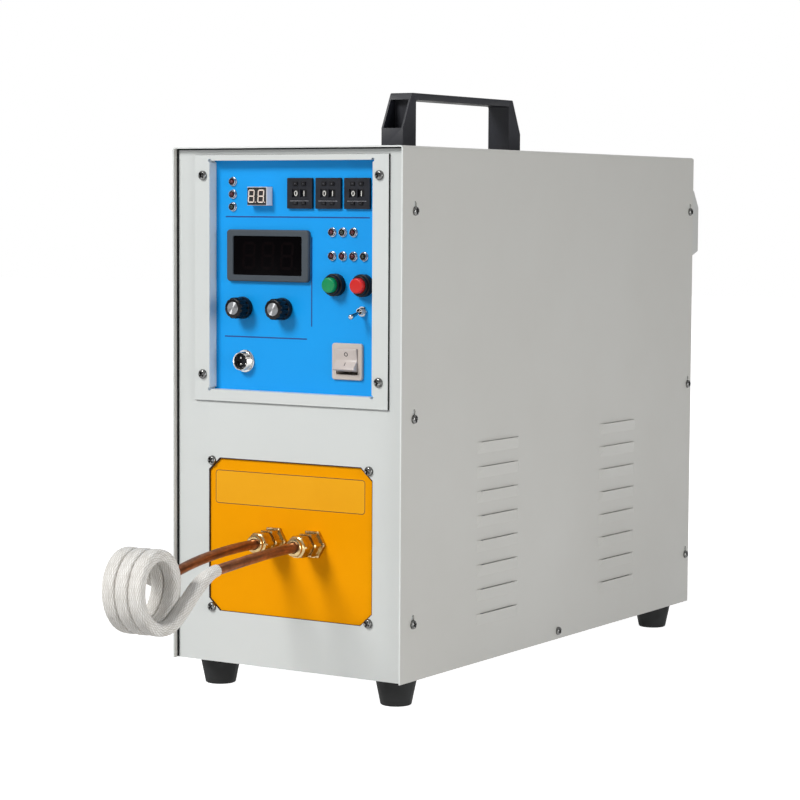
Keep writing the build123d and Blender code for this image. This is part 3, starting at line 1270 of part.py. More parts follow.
def terminal_hood():
    half = HOOD_WIDTH / 2
    hood = side_slab(hood_outline(0.0), HOOD_X - half, HOOD_X + half)
    hood -= side_slab(hood_outline(HOOD_SHEET), HOOD_X - half + HOOD_SHEET, HOOD_X + half - HOOD_SHEET)
    for x, z in HOOD_TAB_POINTS:
        tab = rectangle_at(x, z, HOOD_TAB, HOOD_TAB_HEIGHT) - Pos(x, z) * Circle(SCREW_HOLE_RADIUS)
        hood += slab(tab, REAR_FACE, REAR_FACE + HOOD_SHEET)
    low = HOOD_FLOOR
    return hood - post(GLAND_THREAD_RADIUS + FIT_GAP, HOOD_X, REAR_FACE + GLAND_OUT, low, low + HOOD_SHEET)


def cable_gland():
    y = REAR_FACE + GLAND_OUT
    hex_low = HOOD_FLOOR - GLAND_HEX_HEIGHT
    cap_low = hex_low - GLAND_CAP_LENGTH
    thread_top = HOOD_FLOOR + HOOD_SHEET + GLAND_THREAD_LENGTH
    across = RegularPolygon(GLAND_HEX_ACROSS / 2, 6, major_radius=False)
    gland = extrude(Pos(HOOD_X, y, hex_low) * across, amount=GLAND_HEX_HEIGHT)
    cap = post(GLAND_CAP_RADIUS, HOOD_X, y, cap_low, hex_low)
    cap = fillet(cap.edges().group_by(Axis.Z)[0], GLAND_NUT_HEIGHT - 1)
    gland += cap
    gland += post(GLAND_THREAD_RADIUS, HOOD_X, y, HOOD_FLOOR, thread_top)
    nut_low = HOOD_FLOOR + HOOD_SHEET
    gland += extrude(Pos(HOOD_X, y, nut_low) * across, amount=GLAND_NUT_HEIGHT)
    return gland - post(GLAND_BORE, HOOD_X, y, cap_low, thread_top)


# Screws of the casing, frame, board, handle and hood
def case_screws():
    plain = screw(SCREW_HEAD_RADIUS, SCREW_RADIUS, SCREW_LENGTH)
    long = screw(SCREW_HEAD_RADIUS, SCREW_RADIUS, PLATE_BACK - FRAME_FRONT + SCREW_HEAD_HEIGHT)
    stout = screw(HANDLE_SCREW_HEAD, HANDLE_SCREW_RADIUS, HANDLE_FLOOR + SCREW_LENGTH)
    half = CASE_WIDTH / 2
    solids = []
    for y, z, _ in side_screw_points():
        solids.append(Pos(half, y, z) * Rot(0, 90, 0) * plain)
        solids.append(Pos(-half, y, z) * Rot(0, -90, 0) * plain)
    solids += [Pos(x, FRAME_FRONT, z) * Rot(90, 0, 0) * long for x, z in FRAME_SCREW_POINTS]
    solids += [Pos(x, FRONT_RECESS, z) * Rot(90, 0, 0) * plain for x, z in OUTPUT_SCREW_POINTS]
    solids += [Pos(x, REAR_FACE + HOOD_SHEET, z) * Rot(-90, 0, 0) * plain for x, z in HOOD_TAB_POINTS]
    solids += [Pos(0, y, CASE_HEIGHT + HANDLE_FLOOR) * stout for y in HANDLE_SCREW_DEPTHS]
    return group(solids)


def build_nodes():
    """Every node of the machine, by name."""
    nodes = {
        "cover": cover(),
        "front_panel": front_panel(),
        "rear_panel": rear_panel(),
        "base_tray": base_tray(),
        "rubber_feet": rubber_feet(),
        "case_screws": case_screws(),
        "handle": handle(),
        "window_frame": window_frame(),
        "control_plate": control_plate(),
        "control_board": control_board(),
        "ammeter_case": ammeter_case(),
        "ammeter_window": ammeter_window(),
        "countdown_display": countdown_display(),
        "lamp_bezels": group(lamp_bezel(x, z) for x, z in LAMP_POINTS),
        "lamp_lenses": group(lamp_lens(x, z) for x, z in LAMP_POINTS),
        "button_housings": group(button_housing(x) for x in BUTTON_X),
        "green_button": button_cap(BUTTON_X[0]),
        "red_button": button_cap(BUTTON_X[1]),
        "power_knob": knob(KNOB_X[0]),
        "preheat_knob": knob(KNOB_X[1]),
        "potentiometers": group(potentiometer(x) for x in KNOB_X),
        "toggle_body": toggle_body(),
        "toggle_lever": toggle_lever(),
        "rocker_frame": rocker_frame(),
        "rocker_paddle": rocker_paddle(),
        "pedal_socket": pedal_socket(),
        "pedal_socket_insert": pedal_socket_insert(),
        "output_board": output_board(),
        "output_fittings": group(output_fitting(x) for x in FITTING_POINTS),
        "fitting_nuts": group(nut(x) for nut in (flare_nut, lock_nut) for x in FITTING_POINTS),
        "work_coil": along_path(coil_path(sleeved=False), TUBE_RADIUS),
        "coil_sleeve": along_path(coil_path(sleeved=True), SLEEVE_RADIUS, TUBE_RADIUS + SLEEVE_CLEARANCE),
        "output_transformer": output_transformer(),
        "capacitor_bank": capacitor_bank(),
        "inverter_heatsink": inverter_heatsink(),
        "fan_frame": fan_frame(),
        "fan_rotor": fan_rotor(),
        "water_spigots": group(spigot(x) for x in SPIGOT_X),
        "water_hoses": group(water_hose(x, y) for x, y in zip(FITTING_POINTS, SPIGOT_X)),
        "cable_gland": cable_gland(),
        "terminal_hood": terminal_hood(),
    }
    nodes.update(pushwheels())
    return nodes


NODES = build_nodes()
BOX = group(NODES.values()).bounding_box()
TO_FLOOR = Pos(-(BOX.min.X + BOX.max.X) / 2, -(BOX.min.Y + BOX.max.Y) / 2, -BOX.min.Z)

os.makedirs("parts", exist_ok=True)
for name, shape in NODES.items():
    export_step(group([TO_FLOOR * shape]), f"parts/{name}.step")
print(f"{len(NODES)} nodes, box {BOX.size}, moved by {TO_FLOOR}")
print(f"least gap between the winding's turns {winding_gap():.2f} mm")
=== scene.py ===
"""Looks of a bench induction heating machine with a water-cooled work coil."""
import math

import bmesh
import bpy
from mathutils import Matrix, Vector


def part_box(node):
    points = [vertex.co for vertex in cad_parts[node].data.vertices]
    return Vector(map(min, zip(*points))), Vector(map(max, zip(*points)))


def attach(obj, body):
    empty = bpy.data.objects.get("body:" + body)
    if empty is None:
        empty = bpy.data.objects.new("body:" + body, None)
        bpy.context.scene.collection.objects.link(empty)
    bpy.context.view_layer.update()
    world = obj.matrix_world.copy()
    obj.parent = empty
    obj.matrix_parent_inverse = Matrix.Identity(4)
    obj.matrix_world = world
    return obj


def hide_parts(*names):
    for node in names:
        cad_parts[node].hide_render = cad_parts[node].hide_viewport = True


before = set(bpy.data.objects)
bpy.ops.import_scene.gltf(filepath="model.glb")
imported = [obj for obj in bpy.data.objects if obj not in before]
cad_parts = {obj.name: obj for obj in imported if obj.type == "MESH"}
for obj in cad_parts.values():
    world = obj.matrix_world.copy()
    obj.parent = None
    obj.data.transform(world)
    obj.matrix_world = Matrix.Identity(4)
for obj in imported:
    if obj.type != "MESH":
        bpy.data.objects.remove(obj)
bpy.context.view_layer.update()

# Studio
# A white paper sweep under one large soft lamp at the upper left and a weaker one at the right,
# with an even sky. The camera stands where the photograph's stood.
cover_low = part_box("cover")[0]


def place(x, y, z):
    """A point in metres, from millimetres off the middle of the casing's lower front edge."""
    return Vector((x / 1000, cover_low[1] + y / 1000, cover_low[2] + z / 1000))


def add_node(tree, kind, sockets=None, **settings):
    """A node with its settings, and its sockets set to values or linked to other nodes' sockets."""
    node = tree.nodes.new(kind)
    for name, value in settings.items():
        setattr(node, name, value)
    for name, value in (sockets or {}).items():
        if isinstance(value, bpy.types.NodeSocket):
            tree.links.new(value, node.inputs[name])
        else:
            node.inputs[name].default_value = value
    return node


scene = bpy.context.scene
scene.view_settings.view_transform = "Standard"

lens = bpy.data.cameras.new("camera")
lens.sensor_width = 36.0
lens.lens = 113.63
lens.clip_end = 30.0
camera = bpy.data.objects.new("camera", lens)
camera_place = place(1200.63, -1730.49, 390.37)
heading, downward, roll = (math.radians(angle) for angle in (32.110, 90 - 4.372, 0.3314))
camera.matrix_world = (
    Matrix.Translation(camera_place)
    @ Matrix.Rotation(heading, 4, "Z")
    @ Matrix.Rotation(downward, 4, "X")
    @ Matrix.Rotation(roll, 4, "Z")
)
scene.collection.objects.link(camera)
scene.camera = camera

sky = bpy.data.worlds.new("sky")
sky.use_nodes = True
scene.world = sky
tree = sky.node_tree
tree.nodes.clear()
rays = add_node(tree, "ShaderNodeLightPath")
seen = add_node(tree, "ShaderNodeMath",
                {0: rays.outputs["Is Camera Ray"], 1: rays.outputs["Is Transmission Ray"]},
                operation="MAXIMUM")
direction = add_node(tree, "ShaderNodeSeparateXYZ",
                     {0: add_node(tree, "ShaderNodeTexCoord").outputs["Generated"]})
mirrored = add_node(tree, "ShaderNodeValToRGB", {0: direction.outputs["Z"]})
mirrored.color_ramp.elements[0].position = 0.0
mirrored.color_ramp.elements[0].color = (0.12, 0.12, 0.13, 1)
mirrored.color_ramp.elements[1].position = 0.45
mirrored.color_ramp.elements[1].color = (1, 1, 1, 1)
even = add_node(tree, "ShaderNodeBackground", {"Color": (0.93, 0.96, 1.0, 1), "Strength": 0.28})
gloss = add_node(tree, "ShaderNodeBackground", {"Color": mirrored.outputs["Color"], "Strength": 0.7})
white = add_node(tree, "ShaderNodeBackground", {"Color": (1, 1, 1, 1), "Strength": 1.0})
lit = add_node(tree, "ShaderNodeMixShader",
               {0: rays.outputs["Is Glossy Ray"], 1: even.outputs[0], 2: gloss.outputs[0]})
shown = add_node(tree, "ShaderNodeMixShader", {0: seen.outputs[0], 1: lit.outputs[0], 2: white.outputs[0]})
add_node(tree, "ShaderNodeOutputWorld", {"Surface": shown.outputs[0]})


def soft_lamp(name, position, target, size, power, colour):
    """A rectangular lamp in metres and watts that faces its target."""
    data = bpy.data.lights.new(name, "AREA")
    data.shape = "RECTANGLE"
    data.size, data.size_y = size
    data.energy = power
    data.color = colour
    lamp = bpy.data.objects.new(name, data)
    lamp.location = position
    lamp.rotation_euler = (Vector(target) - Vector(position)).to_track_quat("-Z", "Y").to_euler()
    scene.collection.objects.link(lamp)


warm_white = (1.0, 0.995, 0.985)
soft_lamp("left_lamp", (-1.4, -3.9, 3.35), (0, 0, 0.25), (1.6, 1.6), 200, warm_white)
soft_lamp("right_lamp", (2.3, -0.55, 0.4), (0, 0.1, 0.25), (1.2, 1.2), 27, warm_white)

sweep = bpy.data.meshes.new("paper_sweep")
sweep_half = 9
sweep_corners = [(a * sweep_half, b * sweep_half, 0) for a, b in ((-1, -1), (1, -1), (1, 1), (-1, 1))]
sweep.from_pydata(sweep_corners, [], [(0, 1, 2, 3)])
floor = bpy.data.objects.new("paper_sweep", sweep)
scene.collection.objects.link(floor)
paper = bpy.data.materials.new("white_paper")
paper.use_nodes = True
shader = paper.node_tree.nodes["Principled BSDF"]
shader.inputs["Base Color"].default_value = (0.55, 0.55, 0.55, 1)
shader.inputs["Roughness"].default_value = 0.9
shader.inputs["Emission Color"].default_value = (1, 1, 1, 1)
rays = add_node(paper.node_tree, "ShaderNodeLightPath")
seen = add_node(paper.node_tree, "ShaderNodeMath",
                {0: rays.outputs["Is Camera Ray"], 1: rays.outputs["Is Glossy Ray"]}, operation="MAXIMUM")
far = add_node(paper.node_tree, "ShaderNodeVectorMath",
               {0: add_node(paper.node_tree, "ShaderNodeTexCoord").outputs["Object"]}, operation="LENGTH")
fade = add_node(paper.node_tree, "ShaderNodeMapRange",
                {"Value": far.outputs["Value"], "From Min": 0.3, "From Max": 1.3, "To Min": 0.9,
                 "To Max": 1.0})
glow = add_node(paper.node_tree, "ShaderNodeMath", {0: seen.outputs[0], 1: fade.outputs[0]},
                operation="MULTIPLY")
paper.node_tree.links.new(glow.outputs[0], shader.inputs["Emission Strength"])
sweep.materials.append(paper)

# Casing
# Folded sheet steel with a light grey powder coat: a cover over the top and sides, louvres pressed
# into it, and a front panel and a rear panel with flanges that the cover is screwed to.


def srgb(red, green, blue):
    """A colour as a paint chart gives it, from 0 to 255, in linear light."""
    parts = [value / 255 for value in (red, green, blue)]
    return tuple(v / 12.92 if v <= 0.04045 else ((v + 0.055) / 1.055) ** 2.4 for v in parts) + (1.0,)


def node_group(name, kind, inputs, outputs):
    """An empty group with the named sockets, and its input and output nodes."""
    group = bpy.data.node_groups.new(name, kind)
    for title, socket, value in inputs:
        made = group.interface.new_socket(title, in_out="INPUT", socket_type=socket)
        if value is not None:
            made.default_value = value
    for title, socket in outputs:
        group.interface.new_socket(title, in_out="OUTPUT", socket_type=socket)
    return group, group.nodes.new("NodeGroupInput"), group.nodes.new("NodeGroupOutput")


surface, given, result = node_group(
    "worked_surface",
    "ShaderNodeTree",
    (
        ("Colour", "NodeSocketColor", (0.6, 0.6, 0.6, 1)),
        ("Worn Colour", "NodeSocketColor", (0.5, 0.5, 0.5, 1)),
        ("Worn Share", "NodeSocketFloat", 0.3),
        ("Patch Size", "NodeSocketFloat", 0.1),
        ("Grain Size", "NodeSocketFloat", 0.0008),
        ("Grain Depth", "NodeSocketFloat", 0.00002),
        ("Smooth", "NodeSocketFloat", 0.3),
        ("Rough", "NodeSocketFloat", 0.45),
        ("Stretch", "NodeSocketVector", (1, 1, 1)),
    ),
    (("Colour", "NodeSocketColor"), ("Roughness", "NodeSocketFloat"), ("Normal", "NodeSocketVector")),
)
position = add_node(surface, "ShaderNodeTexCoord").outputs["Object"]
drawn = add_node(surface, "ShaderNodeVectorMath", {0: position, 1: given.outputs["Stretch"]},
                 operation="MULTIPLY")
patch_scale = add_node(surface, "ShaderNodeMath", {0: 1.0, 1: given.outputs["Patch Size"]},
                       operation="DIVIDE")
patches = add_node(surface, "ShaderNodeTexNoise",
                   {"Vector": drawn.outputs[0], "Scale": patch_scale.outputs[0], "Detail": 5.0,
                    "Roughness": 0.6})
grain_scale = add_node(surface, "ShaderNodeMath", {0: 1.0, 1: given.outputs["Grain Size"]},
                       operation="DIVIDE")
grains = add_node(surface, "ShaderNodeTexNoise",
                  {"Vector": drawn.outputs[0], "Scale": grain_scale.outputs[0], "Detail": 2.0})
worn = add_node(surface, "ShaderNodeMapRange",
                {"Value": patches.outputs[0], "From Min": 0.35, "From Max": 0.7,
                 "To Max": given.outputs["Worn Share"]})
tone = add_node(surface, "ShaderNodeMix",
                {"Factor": worn.outputs[0], 6: given.outputs["Colour"], 7: given.outputs["Worn Colour"]},
                data_type="RGBA")
sheen = add_node(surface, "ShaderNodeMapRange",
                 {"Value": patches.outputs[0], "From Min": 0.3, "From Max": 0.7,
                  "To Min": given.outputs["Smooth"], "To Max": given.outputs["Rough"]})
relief = add_node(surface, "ShaderNodeBump",
                  {"Height": grains.outputs[0], "Distance": given.outputs["Grain Depth"], "Strength": 1.0})
surface.links.new(tone.outputs[2], result.inputs["Colour"])
surface.links.new(sheen.outputs[0], result.inputs["Roughness"])
surface.links.new(relief.outputs[0], result.inputs["Normal"])


def finish(name, colour, worn, share=0.3, patch=0.1, grain=0.0008, depth=0.00002, rough=(0.3, 0.45),
           stretch=(1, 1, 1), **shader_values):
    """A material on the worked surface group; further names are the shader's own sockets."""
    material = bpy.data.materials.new(name)
    material.use_nodes = True
    tree = material.node_tree
    shader = tree.nodes["Principled BSDF"]
    for socket, value in shader_values.items():
        shader.inputs[socket.replace("_", " ").title().replace("Ior", "IOR")].default_value = value
    look = add_node(tree, "ShaderNodeGroup", node_tree=surface)
    for socket, value in (("Colour", colour), ("Worn Colour", worn), ("Worn Share", share),
                          ("Patch Size", patch), ("Grain Size", grain), ("Grain Depth", depth),
                          ("Smooth", rough[0]), ("Rough", rough[1]), ("Stretch", stretch)):
        look.inputs[socket].default_value = value
    tree.links.new(look.outputs["Colour"], shader.inputs["Base Color"])
    tree.links.new(look.outputs["Roughness"], shader.inputs["Roughness"])
    tree.links.new(look.outputs["Normal"], shader.inputs["Normal"])
    return material


def dress(material, *nodes):
    """Gives CAD nodes that keep their shape a better material."""
    for name in nodes:
        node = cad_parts[name]
        if node.material_slots:
            node.material_slots[0].material = material
        else:
            node.data.materials.append(material)


cover_paint = finish("cover_powder_coat", srgb(201, 200, 195), srgb(194, 192, 186), share=0.5, patch=0.25,
                     grain=0.0011, depth=0.000012, rough=(0.34, 0.46))
panel_paint = finish("panel_powder_coat", srgb(212, 215, 213), srgb(205, 209, 207), share=0.5, patch=0.2,
                     grain=0.0011, depth=0.00001, rough=(0.34, 0.46))
zinc = finish("zinc_plated_sheet", srgb(188, 189, 188), srgb(160, 162, 164), share=0.6, patch=0.03,
              grain=0.0006, depth=0.00001, rough=(0.3, 0.5), metallic=0.85)
# The cover's cut front edge is painted brighter than its sides: a painted highlight where the edge catches
# the light.
tree = cover_paint.node_tree
shader = tree.nodes["Principled BSDF"]
depth_in = add_node(tree, "ShaderNodeSeparateXYZ",
                    {0: add_node(tree, "ShaderNodeTexCoord").outputs["Object"]})
edge_highlight_mask = add_node(tree, "ShaderNodeMapRange",
                   {"Value": depth_in.outputs["Y"], "From Min": cover_low.y + 0.0001,
                    "From Max": cover_low.y + 0.0005, "To Min": 1.0, "To Max": 0.0})
edge_highlighted = add_node(tree, "ShaderNodeMix",
                 {"Factor": edge_highlight_mask.outputs[0], 6: shader.inputs["Base Color"].links[0].from_socket,
                  7: srgb(226, 229, 227)}, data_type="RGBA")
tree.links.new(edge_highlighted.outputs[2], shader.inputs["Base Color"])
dress(cover_paint, "cover")
dress(panel_paint, "rear_panel")
dress(zinc, "base_tray")

# Feet
# Four tapered black rubber feet, each bolted under the tray through a steel washer moulded into it.
dress(finish("foot_rubber", srgb(26, 27, 28), srgb(46, 46, 45), share=0.5, patch=0.01, grain=0.0005,
             depth=0.00004, rough=(0.6, 0.85), specular_ior_level=0.3), "rubber_feet")

# Handle and window frame
# A black nylon moulding with a screw pocket in each end, and a painted steel frame folded round the
# controls. Their edges are rounded as they come from the mould or the press brake.


def plain_mesh(holder):
    """The evaluated mesh of an object that is then taken away."""
    bpy.context.view_layer.update()
    mesh = bpy.data.meshes.new_from_object(holder.evaluated_get(bpy.context.evaluated_depsgraph_get()))
    bpy.data.objects.remove(holder)
    return mesh


def bevelled(name, mesh, width, segments, angle):
    """The mesh with its edges rounded by a width in millimetres, where it turns by more than an
    angle."""
    holder = bpy.data.objects.new(name, mesh)
    scene.collection.objects.link(holder)
    rounding = holder.modifiers.new("rounding", "BEVEL")
    rounding.width = width / 1000
    rounding.segments = segments
    rounding.limit_method = "ANGLE"
    rounding.angle_limit = math.radians(angle)
    return plain_mesh(holder)


def softened(node, width, segments=2, angle=32, opened=None):
    """A merged copy of a CAD node's mesh with its edges rounded by a width in millimetres. What is
    given as opened moves its corners first."""
    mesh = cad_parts[node].data.copy()
    mesh.materials.clear()
    bm = bmesh.new()
    bm.from_mesh(mesh)
    bmesh.ops.remove_doubles(bm, verts=bm.verts, dist=2e-6)
    bmesh.ops.dissolve_limit(bm, angle_limit=math.radians(1), verts=bm.verts, edges=bm.edges)
    if opened:
        for vert in bm.verts:
            vert.co = opened(vert.co)
    bm.to_mesh(mesh)
    bm.free()
    return bevelled(node + "_rounded", mesh, width, segments, angle)


def finished_mesh(bm, name):
    """The mesh of a bmesh, with its faces turned outwards."""
    bmesh.ops.recalc_face_normals(bm, faces=bm.faces)
    mesh = bpy.data.meshes.new(name)
    bm.to_mesh(mesh)
    bm.free()
    return mesh


def piece(name, mesh, material, body="machine", stands_for=(), sharp=35):
    """A mesh or bmesh put on the machine as a piece of its own, riding on a body."""
    if isinstance(mesh, bmesh.types.BMesh):
        mesh = finished_mesh(mesh, name)
    mesh.materials.clear()
    mesh.materials.append(material)
    mesh.shade_smooth()
    mesh.set_sharp_from_angle(angle=math.radians(sharp))
    made = bpy.data.objects.new(name, mesh)
    scene.collection.objects.link(made)
    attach(made, body)
    if stands_for:
        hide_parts(*stands_for)
    return made


handle_nylon = finish("handle_nylon", srgb(24, 25, 31), srgb(42, 44, 54), share=0.4, patch=0.03,
                      grain=0.0007, depth=0.00005, rough=(0.36, 0.55), specular_ior_level=0.4)
piece("handle_moulding", softened("handle", 0.6, 3), handle_nylon, stands_for=("handle",),
      sharp=18)
piece("frame_pressing", softened("window_frame", 0.35), panel_paint,
      stands_for=("window_frame",), sharp=18)

# Front panel
# Painted sheet steel with a window for the controls and a lower one for the output board. The lower
# window's corners are cut straight past the screws that hold the board.
output_x, output_z = 1.8, 110.3
window_half, board_screws = (83.25, 66.0), (79.8, 63.25)
notch_radius, notch_cut = 7.2, (11.4, 10.4)


def cut_notch(point):
    """Moves the round corner notches of the output window to straight cuts close by the screws."""
    x, z = point.x * 1000 - output_x, (point.z - cover_low.z) * 1000 - output_z
    dx, dz = abs(x) - board_screws[0], abs(z) - board_screws[1]
    if abs(math.hypot(dx, dz) - notch_radius) > 0.05:
        return point
    rim_x, rim_z = (half - screw for half, screw in zip(window_half, board_screws))
    first = math.atan2(-math.sqrt(notch_radius ** 2 - rim_x ** 2), rim_x)
    last = math.atan2(rim_z, -math.sqrt(notch_radius ** 2 - rim_z ** 2)) - 2 * math.pi
    at = math.atan2(dz, dx)
    at = at - 2 * math.pi if at > math.pi / 2 else at
    share = (at - first) / (last - first)
    moved = window_half[0] - share * notch_cut[0], window_half[1] - (1 - share) * notch_cut[1]
    return Vector(((math.copysign(moved[0], x) + output_x) / 1000, point.y,
                   (math.copysign(moved[1], z) + output_z) / 1000 + cover_low.z))


piece("front_pressing", softened("front_panel", 0.2, opened=cut_notch), panel_paint,
      stands_for=("front_panel",), sharp=18)

# Hood
# A hood of painted sheet steel, folded and screwed to the rear over the mains cable's gland.
hood_paint = finish("hood_powder_coat", srgb(200, 200, 197), srgb(192, 192, 189), share=0.5, patch=0.1,
                    grain=0.0011, depth=0.000012, rough=(0.36, 0.48))
piece("hood_pressing", softened("terminal_hood", 0.3), hood_paint,
      stands_for=("terminal_hood",), sharp=18)

# Screws
# Zinc plated pan head screws with a cross recess hold the cover, the frame, the output board, the
# hood and the handle. Each has come to rest at its own angle.


def turned(bm, profile, centre, along=(0, 1, 0), sides=48, outline=None):
    """A turned shape added to a mesh. The profile gives radius and distance along the axis in
    millimetres, and the outline the greatest radius at an angle, for hexagons and flutes."""
    along = Vector(along).normalized()
    side = Vector((1, 0, 0))
    up = side.cross(along)
    around = bm.loops.layers.uv.get("around") or bm.loops.layers.uv.new("around")
    rings = []
    for radius, distance in profile:
        middle = centre + along * distance / 1000
        if radius == 0:
            rings.append([bm.verts.new(middle)] * (sides + 1))
            continue
        ring = []
        for step in range(sides):
            angle = 2 * math.pi * step / sides
            reach = min(radius, outline(angle)) if outline else radius
            outward = (side * math.cos(angle) + up * math.sin(angle)) * reach / 1000
            ring.append(bm.verts.new(middle + outward))
        rings.append(ring + ring[:1])
    for level, (low, high) in enumerate(zip(rings, rings[1:])):
        for step in range(sides):
            corners = [(low[step], step, level), (low[step + 1], step + 1, level),
                       (high[step + 1], step + 1, level + 1), (high[step], step, level + 1)]
            if low[0] is low[1]:
                corners.pop(1)
            if high[0] is high[1]:
                corners.pop(-1)
            face = bm.faces.new([corner[0] for corner in corners])
            for loop, corner in zip(face.loops, corners):
                loop[around].uv = (corner[1] / sides, corner[2] * 0.1)


def cross_head(radius, height, shank, recess=(0.66, 0.2, 0.75), sides=24):
    """A pan head with a cross recess, its underside at zero, facing +Z. The recess gives its arm's
    reach and half width as shares of the radius, and its depth as a share of the height."""
    bm = bmesh.new()
    reach, half, depth = recess[0] * radius, recess[1] * radius, recess[2] * height
    dome = [(1.0, 0.0), (1.0, 0.35), (0.95, 0.62), (0.86, 0.83), (0.74, 0.95), (0.68, 1.0)]
    profile = [(0, -shank), (radius * 0.53, -shank), (radius * 0.53, 0)]
    profile += [(share * radius, rise * height) for share, rise in dome]
    turned(bm, profile, Vector((0, 0, 0)), (0, 0, 1), sides)
    rim = [edge for edge in bm.edges if edge.is_boundary]
    corners = [(half, reach), (half, half), (reach, half), (reach, -half), (half, -half), (half, -reach),
               (-half, -reach), (-half, -half), (-reach, -half), (-reach, half), (-half, half),
               (-half, reach)]
    top = [bm.verts.new((x / 1000, y / 1000, height / 1000)) for x, y in corners]
    low = [bm.verts.new((x * 0.7 / 1000, y * 0.7 / 1000, (height - depth) / 1000)) for x, y in corners]
    edges = [bm.edges.new((top[i], top[i - 1])) for i in range(len(top))]
    bmesh.ops.triangle_fill(bm, use_beauty=True, edges=rim + edges)
    for i in range(len(top)):
        bm.faces.new((top[i - 1], top[i], low[i], low[i - 1]))
    bm.faces.new(low)
    return finished_mesh(bm, "cross_head")


onto_points, given, result = node_group(
    "parts_on_points",
    "GeometryNodeTree",
    (
        ("Geometry", "NodeSocketGeometry", None),
        ("Part", "NodeSocketObject", None),
        ("Finish", "NodeSocketMaterial", None),
        ("Largest Turn", "NodeSocketFloat", 0.0),
        ("Seed", "NodeSocketInt", 0),
    ),
    (("Geometry", "NodeSocketGeometry"),),
)
part = add_node(onto_points, "GeometryNodeObjectInfo", {"Object": given.outputs["Part"]})
facing = add_node(onto_points, "GeometryNodeInputNamedAttribute", {"Name": "facing"},
                  data_type="FLOAT_VECTOR")
growth = add_node(onto_points, "GeometryNodeInputNamedAttribute", {"Name": "growth"}, data_type="FLOAT")
aim = add_node(onto_points, "FunctionNodeAlignRotationToVector", {"Vector": facing.outputs[0]}, axis="Z")
turn = add_node(onto_points, "FunctionNodeRandomValue",
                {3: given.outputs["Largest Turn"], "Seed": given.outputs["Seed"]}, data_type="FLOAT")
twist = add_node(onto_points, "ShaderNodeCombineXYZ", {"Z": turn.outputs[1]})
twisted = add_node(onto_points, "FunctionNodeEulerToRotation", {0: twist.outputs[0]})
pose = add_node(onto_points, "FunctionNodeRotateRotation", {0: aim.outputs[0], 1: twisted.outputs[0]},
                rotation_space="LOCAL")
copies = add_node(onto_points, "GeometryNodeInstanceOnPoints",
                  {"Points": given.outputs["Geometry"], "Instance": part.outputs["Geometry"],
                   "Rotation": pose.outputs[0], "Scale": growth.outputs[0]})
solid = add_node(onto_points, "GeometryNodeRealizeInstances", {0: copies.outputs[0]})
painted = add_node(onto_points, "GeometryNodeSetMaterial",
                   {0: solid.outputs[0], "Material": given.outputs["Finish"]})
onto_points.links.new(painted.outputs[0], result.inputs[0])


def grown(base, tree, values):
    """The plain mesh that a node tree makes from an object, with its inputs given by name."""
    modifier = base.modifiers.new("grow", "NODES")
    modifier.node_group = tree
    for socket in tree.interface.items_tree:
        if socket.in_out == "INPUT" and socket.name in values:
            modifier[socket.identifier] = values[socket.name]
    return plain_mesh(base)


def spread(name, part_mesh, spots, material, largest_turn=0.0, seed=0):
    """One mesh of like parts, a copy at each spot. A spot gives its place, the way that it faces and
    its growth."""
    points = bpy.data.meshes.new(name + "_points")
    points.from_pydata([spot[0] for spot in spots], [], [])
    facing = points.attributes.new("facing", "FLOAT_VECTOR", "POINT")
    facing.data.foreach_set("vector", [value for spot in spots for value in spot[1]])
    growth = points.attributes.new("growth", "FLOAT", "POINT")
    growth.data.foreach_set("value", [spot[2] for spot in spots])
    template = bpy.data.objects.new(name + "_part", part_mesh)
    base = bpy.data.objects.new(name + "_base", points)
    for holder in (template, base):
        scene.collection.objects.link(holder)
    mesh = grown(base, onto_points,
                 {"Part": template, "Finish": material, "Largest Turn": largest_turn, "Seed": seed})
    bpy.data.objects.remove(template)
    return mesh


head_radius, head_height, shank_length = 3.8, 2.4, 6.0
handle_head_radius, front_growth = 4.5, 1.06
half_case, cover_screws = 116, [(y, z) for y in (19.5, 533) for z in (47.5, 217.3, 387.1)] + [(270, 7.4)]
frame_front, frame_x, frame_z, frame_screws = 3.5, 2.7, 331.6, (89.05, 84.45)
panel_front = 5.5
hood_x, hood_rear, hood_z, hood_screw = 60, 523.2, 376, 45.5
handle_floor, handle_screws = 446, (179, 365.5)
corners = [(a, b) for a in (-1, 1) for b in (-1, 1)]
screw_spots = [(place(side * half_case, y, z), (side, 0, 0), 1.0)
               for side in (-1, 1) for y, z in cover_screws]
screw_spots += [(place(frame_x + a * frame_screws[0], frame_front, frame_z + b * frame_screws[1]),
                 (0, -1, 0), front_growth) for a, b in corners]
screw_spots += [(place(output_x + a * board_screws[0], panel_front, output_z + b * board_screws[1]),
                 (0, -1, 0), front_growth) for a, b in corners]
screw_spots += [(place(hood_x + a * hood_screw, hood_rear, hood_z), (0, 1, 0), 1.0) for a in (-1, 1)]
screw_spots += [(place(0, y, handle_floor), (0, 0, 1), handle_head_radius / head_radius)
                for y in handle_screws]
screw_plating = finish("screw_plating", srgb(138, 138, 136), srgb(58, 58, 60), share=0.9, patch=0.0022,
                       grain=0.0003, depth=0.00001, rough=(0.12, 0.3), metallic=1.0)
screws = spread("screws", cross_head(head_radius, head_height, shank_length), screw_spots, screw_plating,
                math.pi, 7)
piece("screw_heads", screws, screw_plating, stands_for=("case_screws",), sharp=30)

# Shadow gaps
# Near-black pieces in the joints are painted shadow: a flat ring under the window frame and strips
# between the panel's edges and the cover. A thin dark brown ring round the output board is painted shadow
# too.


def slice_of(bm, outline, front, back):
    """A flat closed shape added to a mesh, from its outline across and up and its front and back."""
    near = [bm.verts.new(place(x, front, z)) for x, z in outline]
    rear = [bm.verts.new(place(x, back, z)) for x, z in outline]
    bm.faces.new(near)
    bm.faces.new(rear[::-1])
    for i in range(len(near)):
        bm.faces.new((near[i - 1], near[i], rear[i], rear[i - 1]))


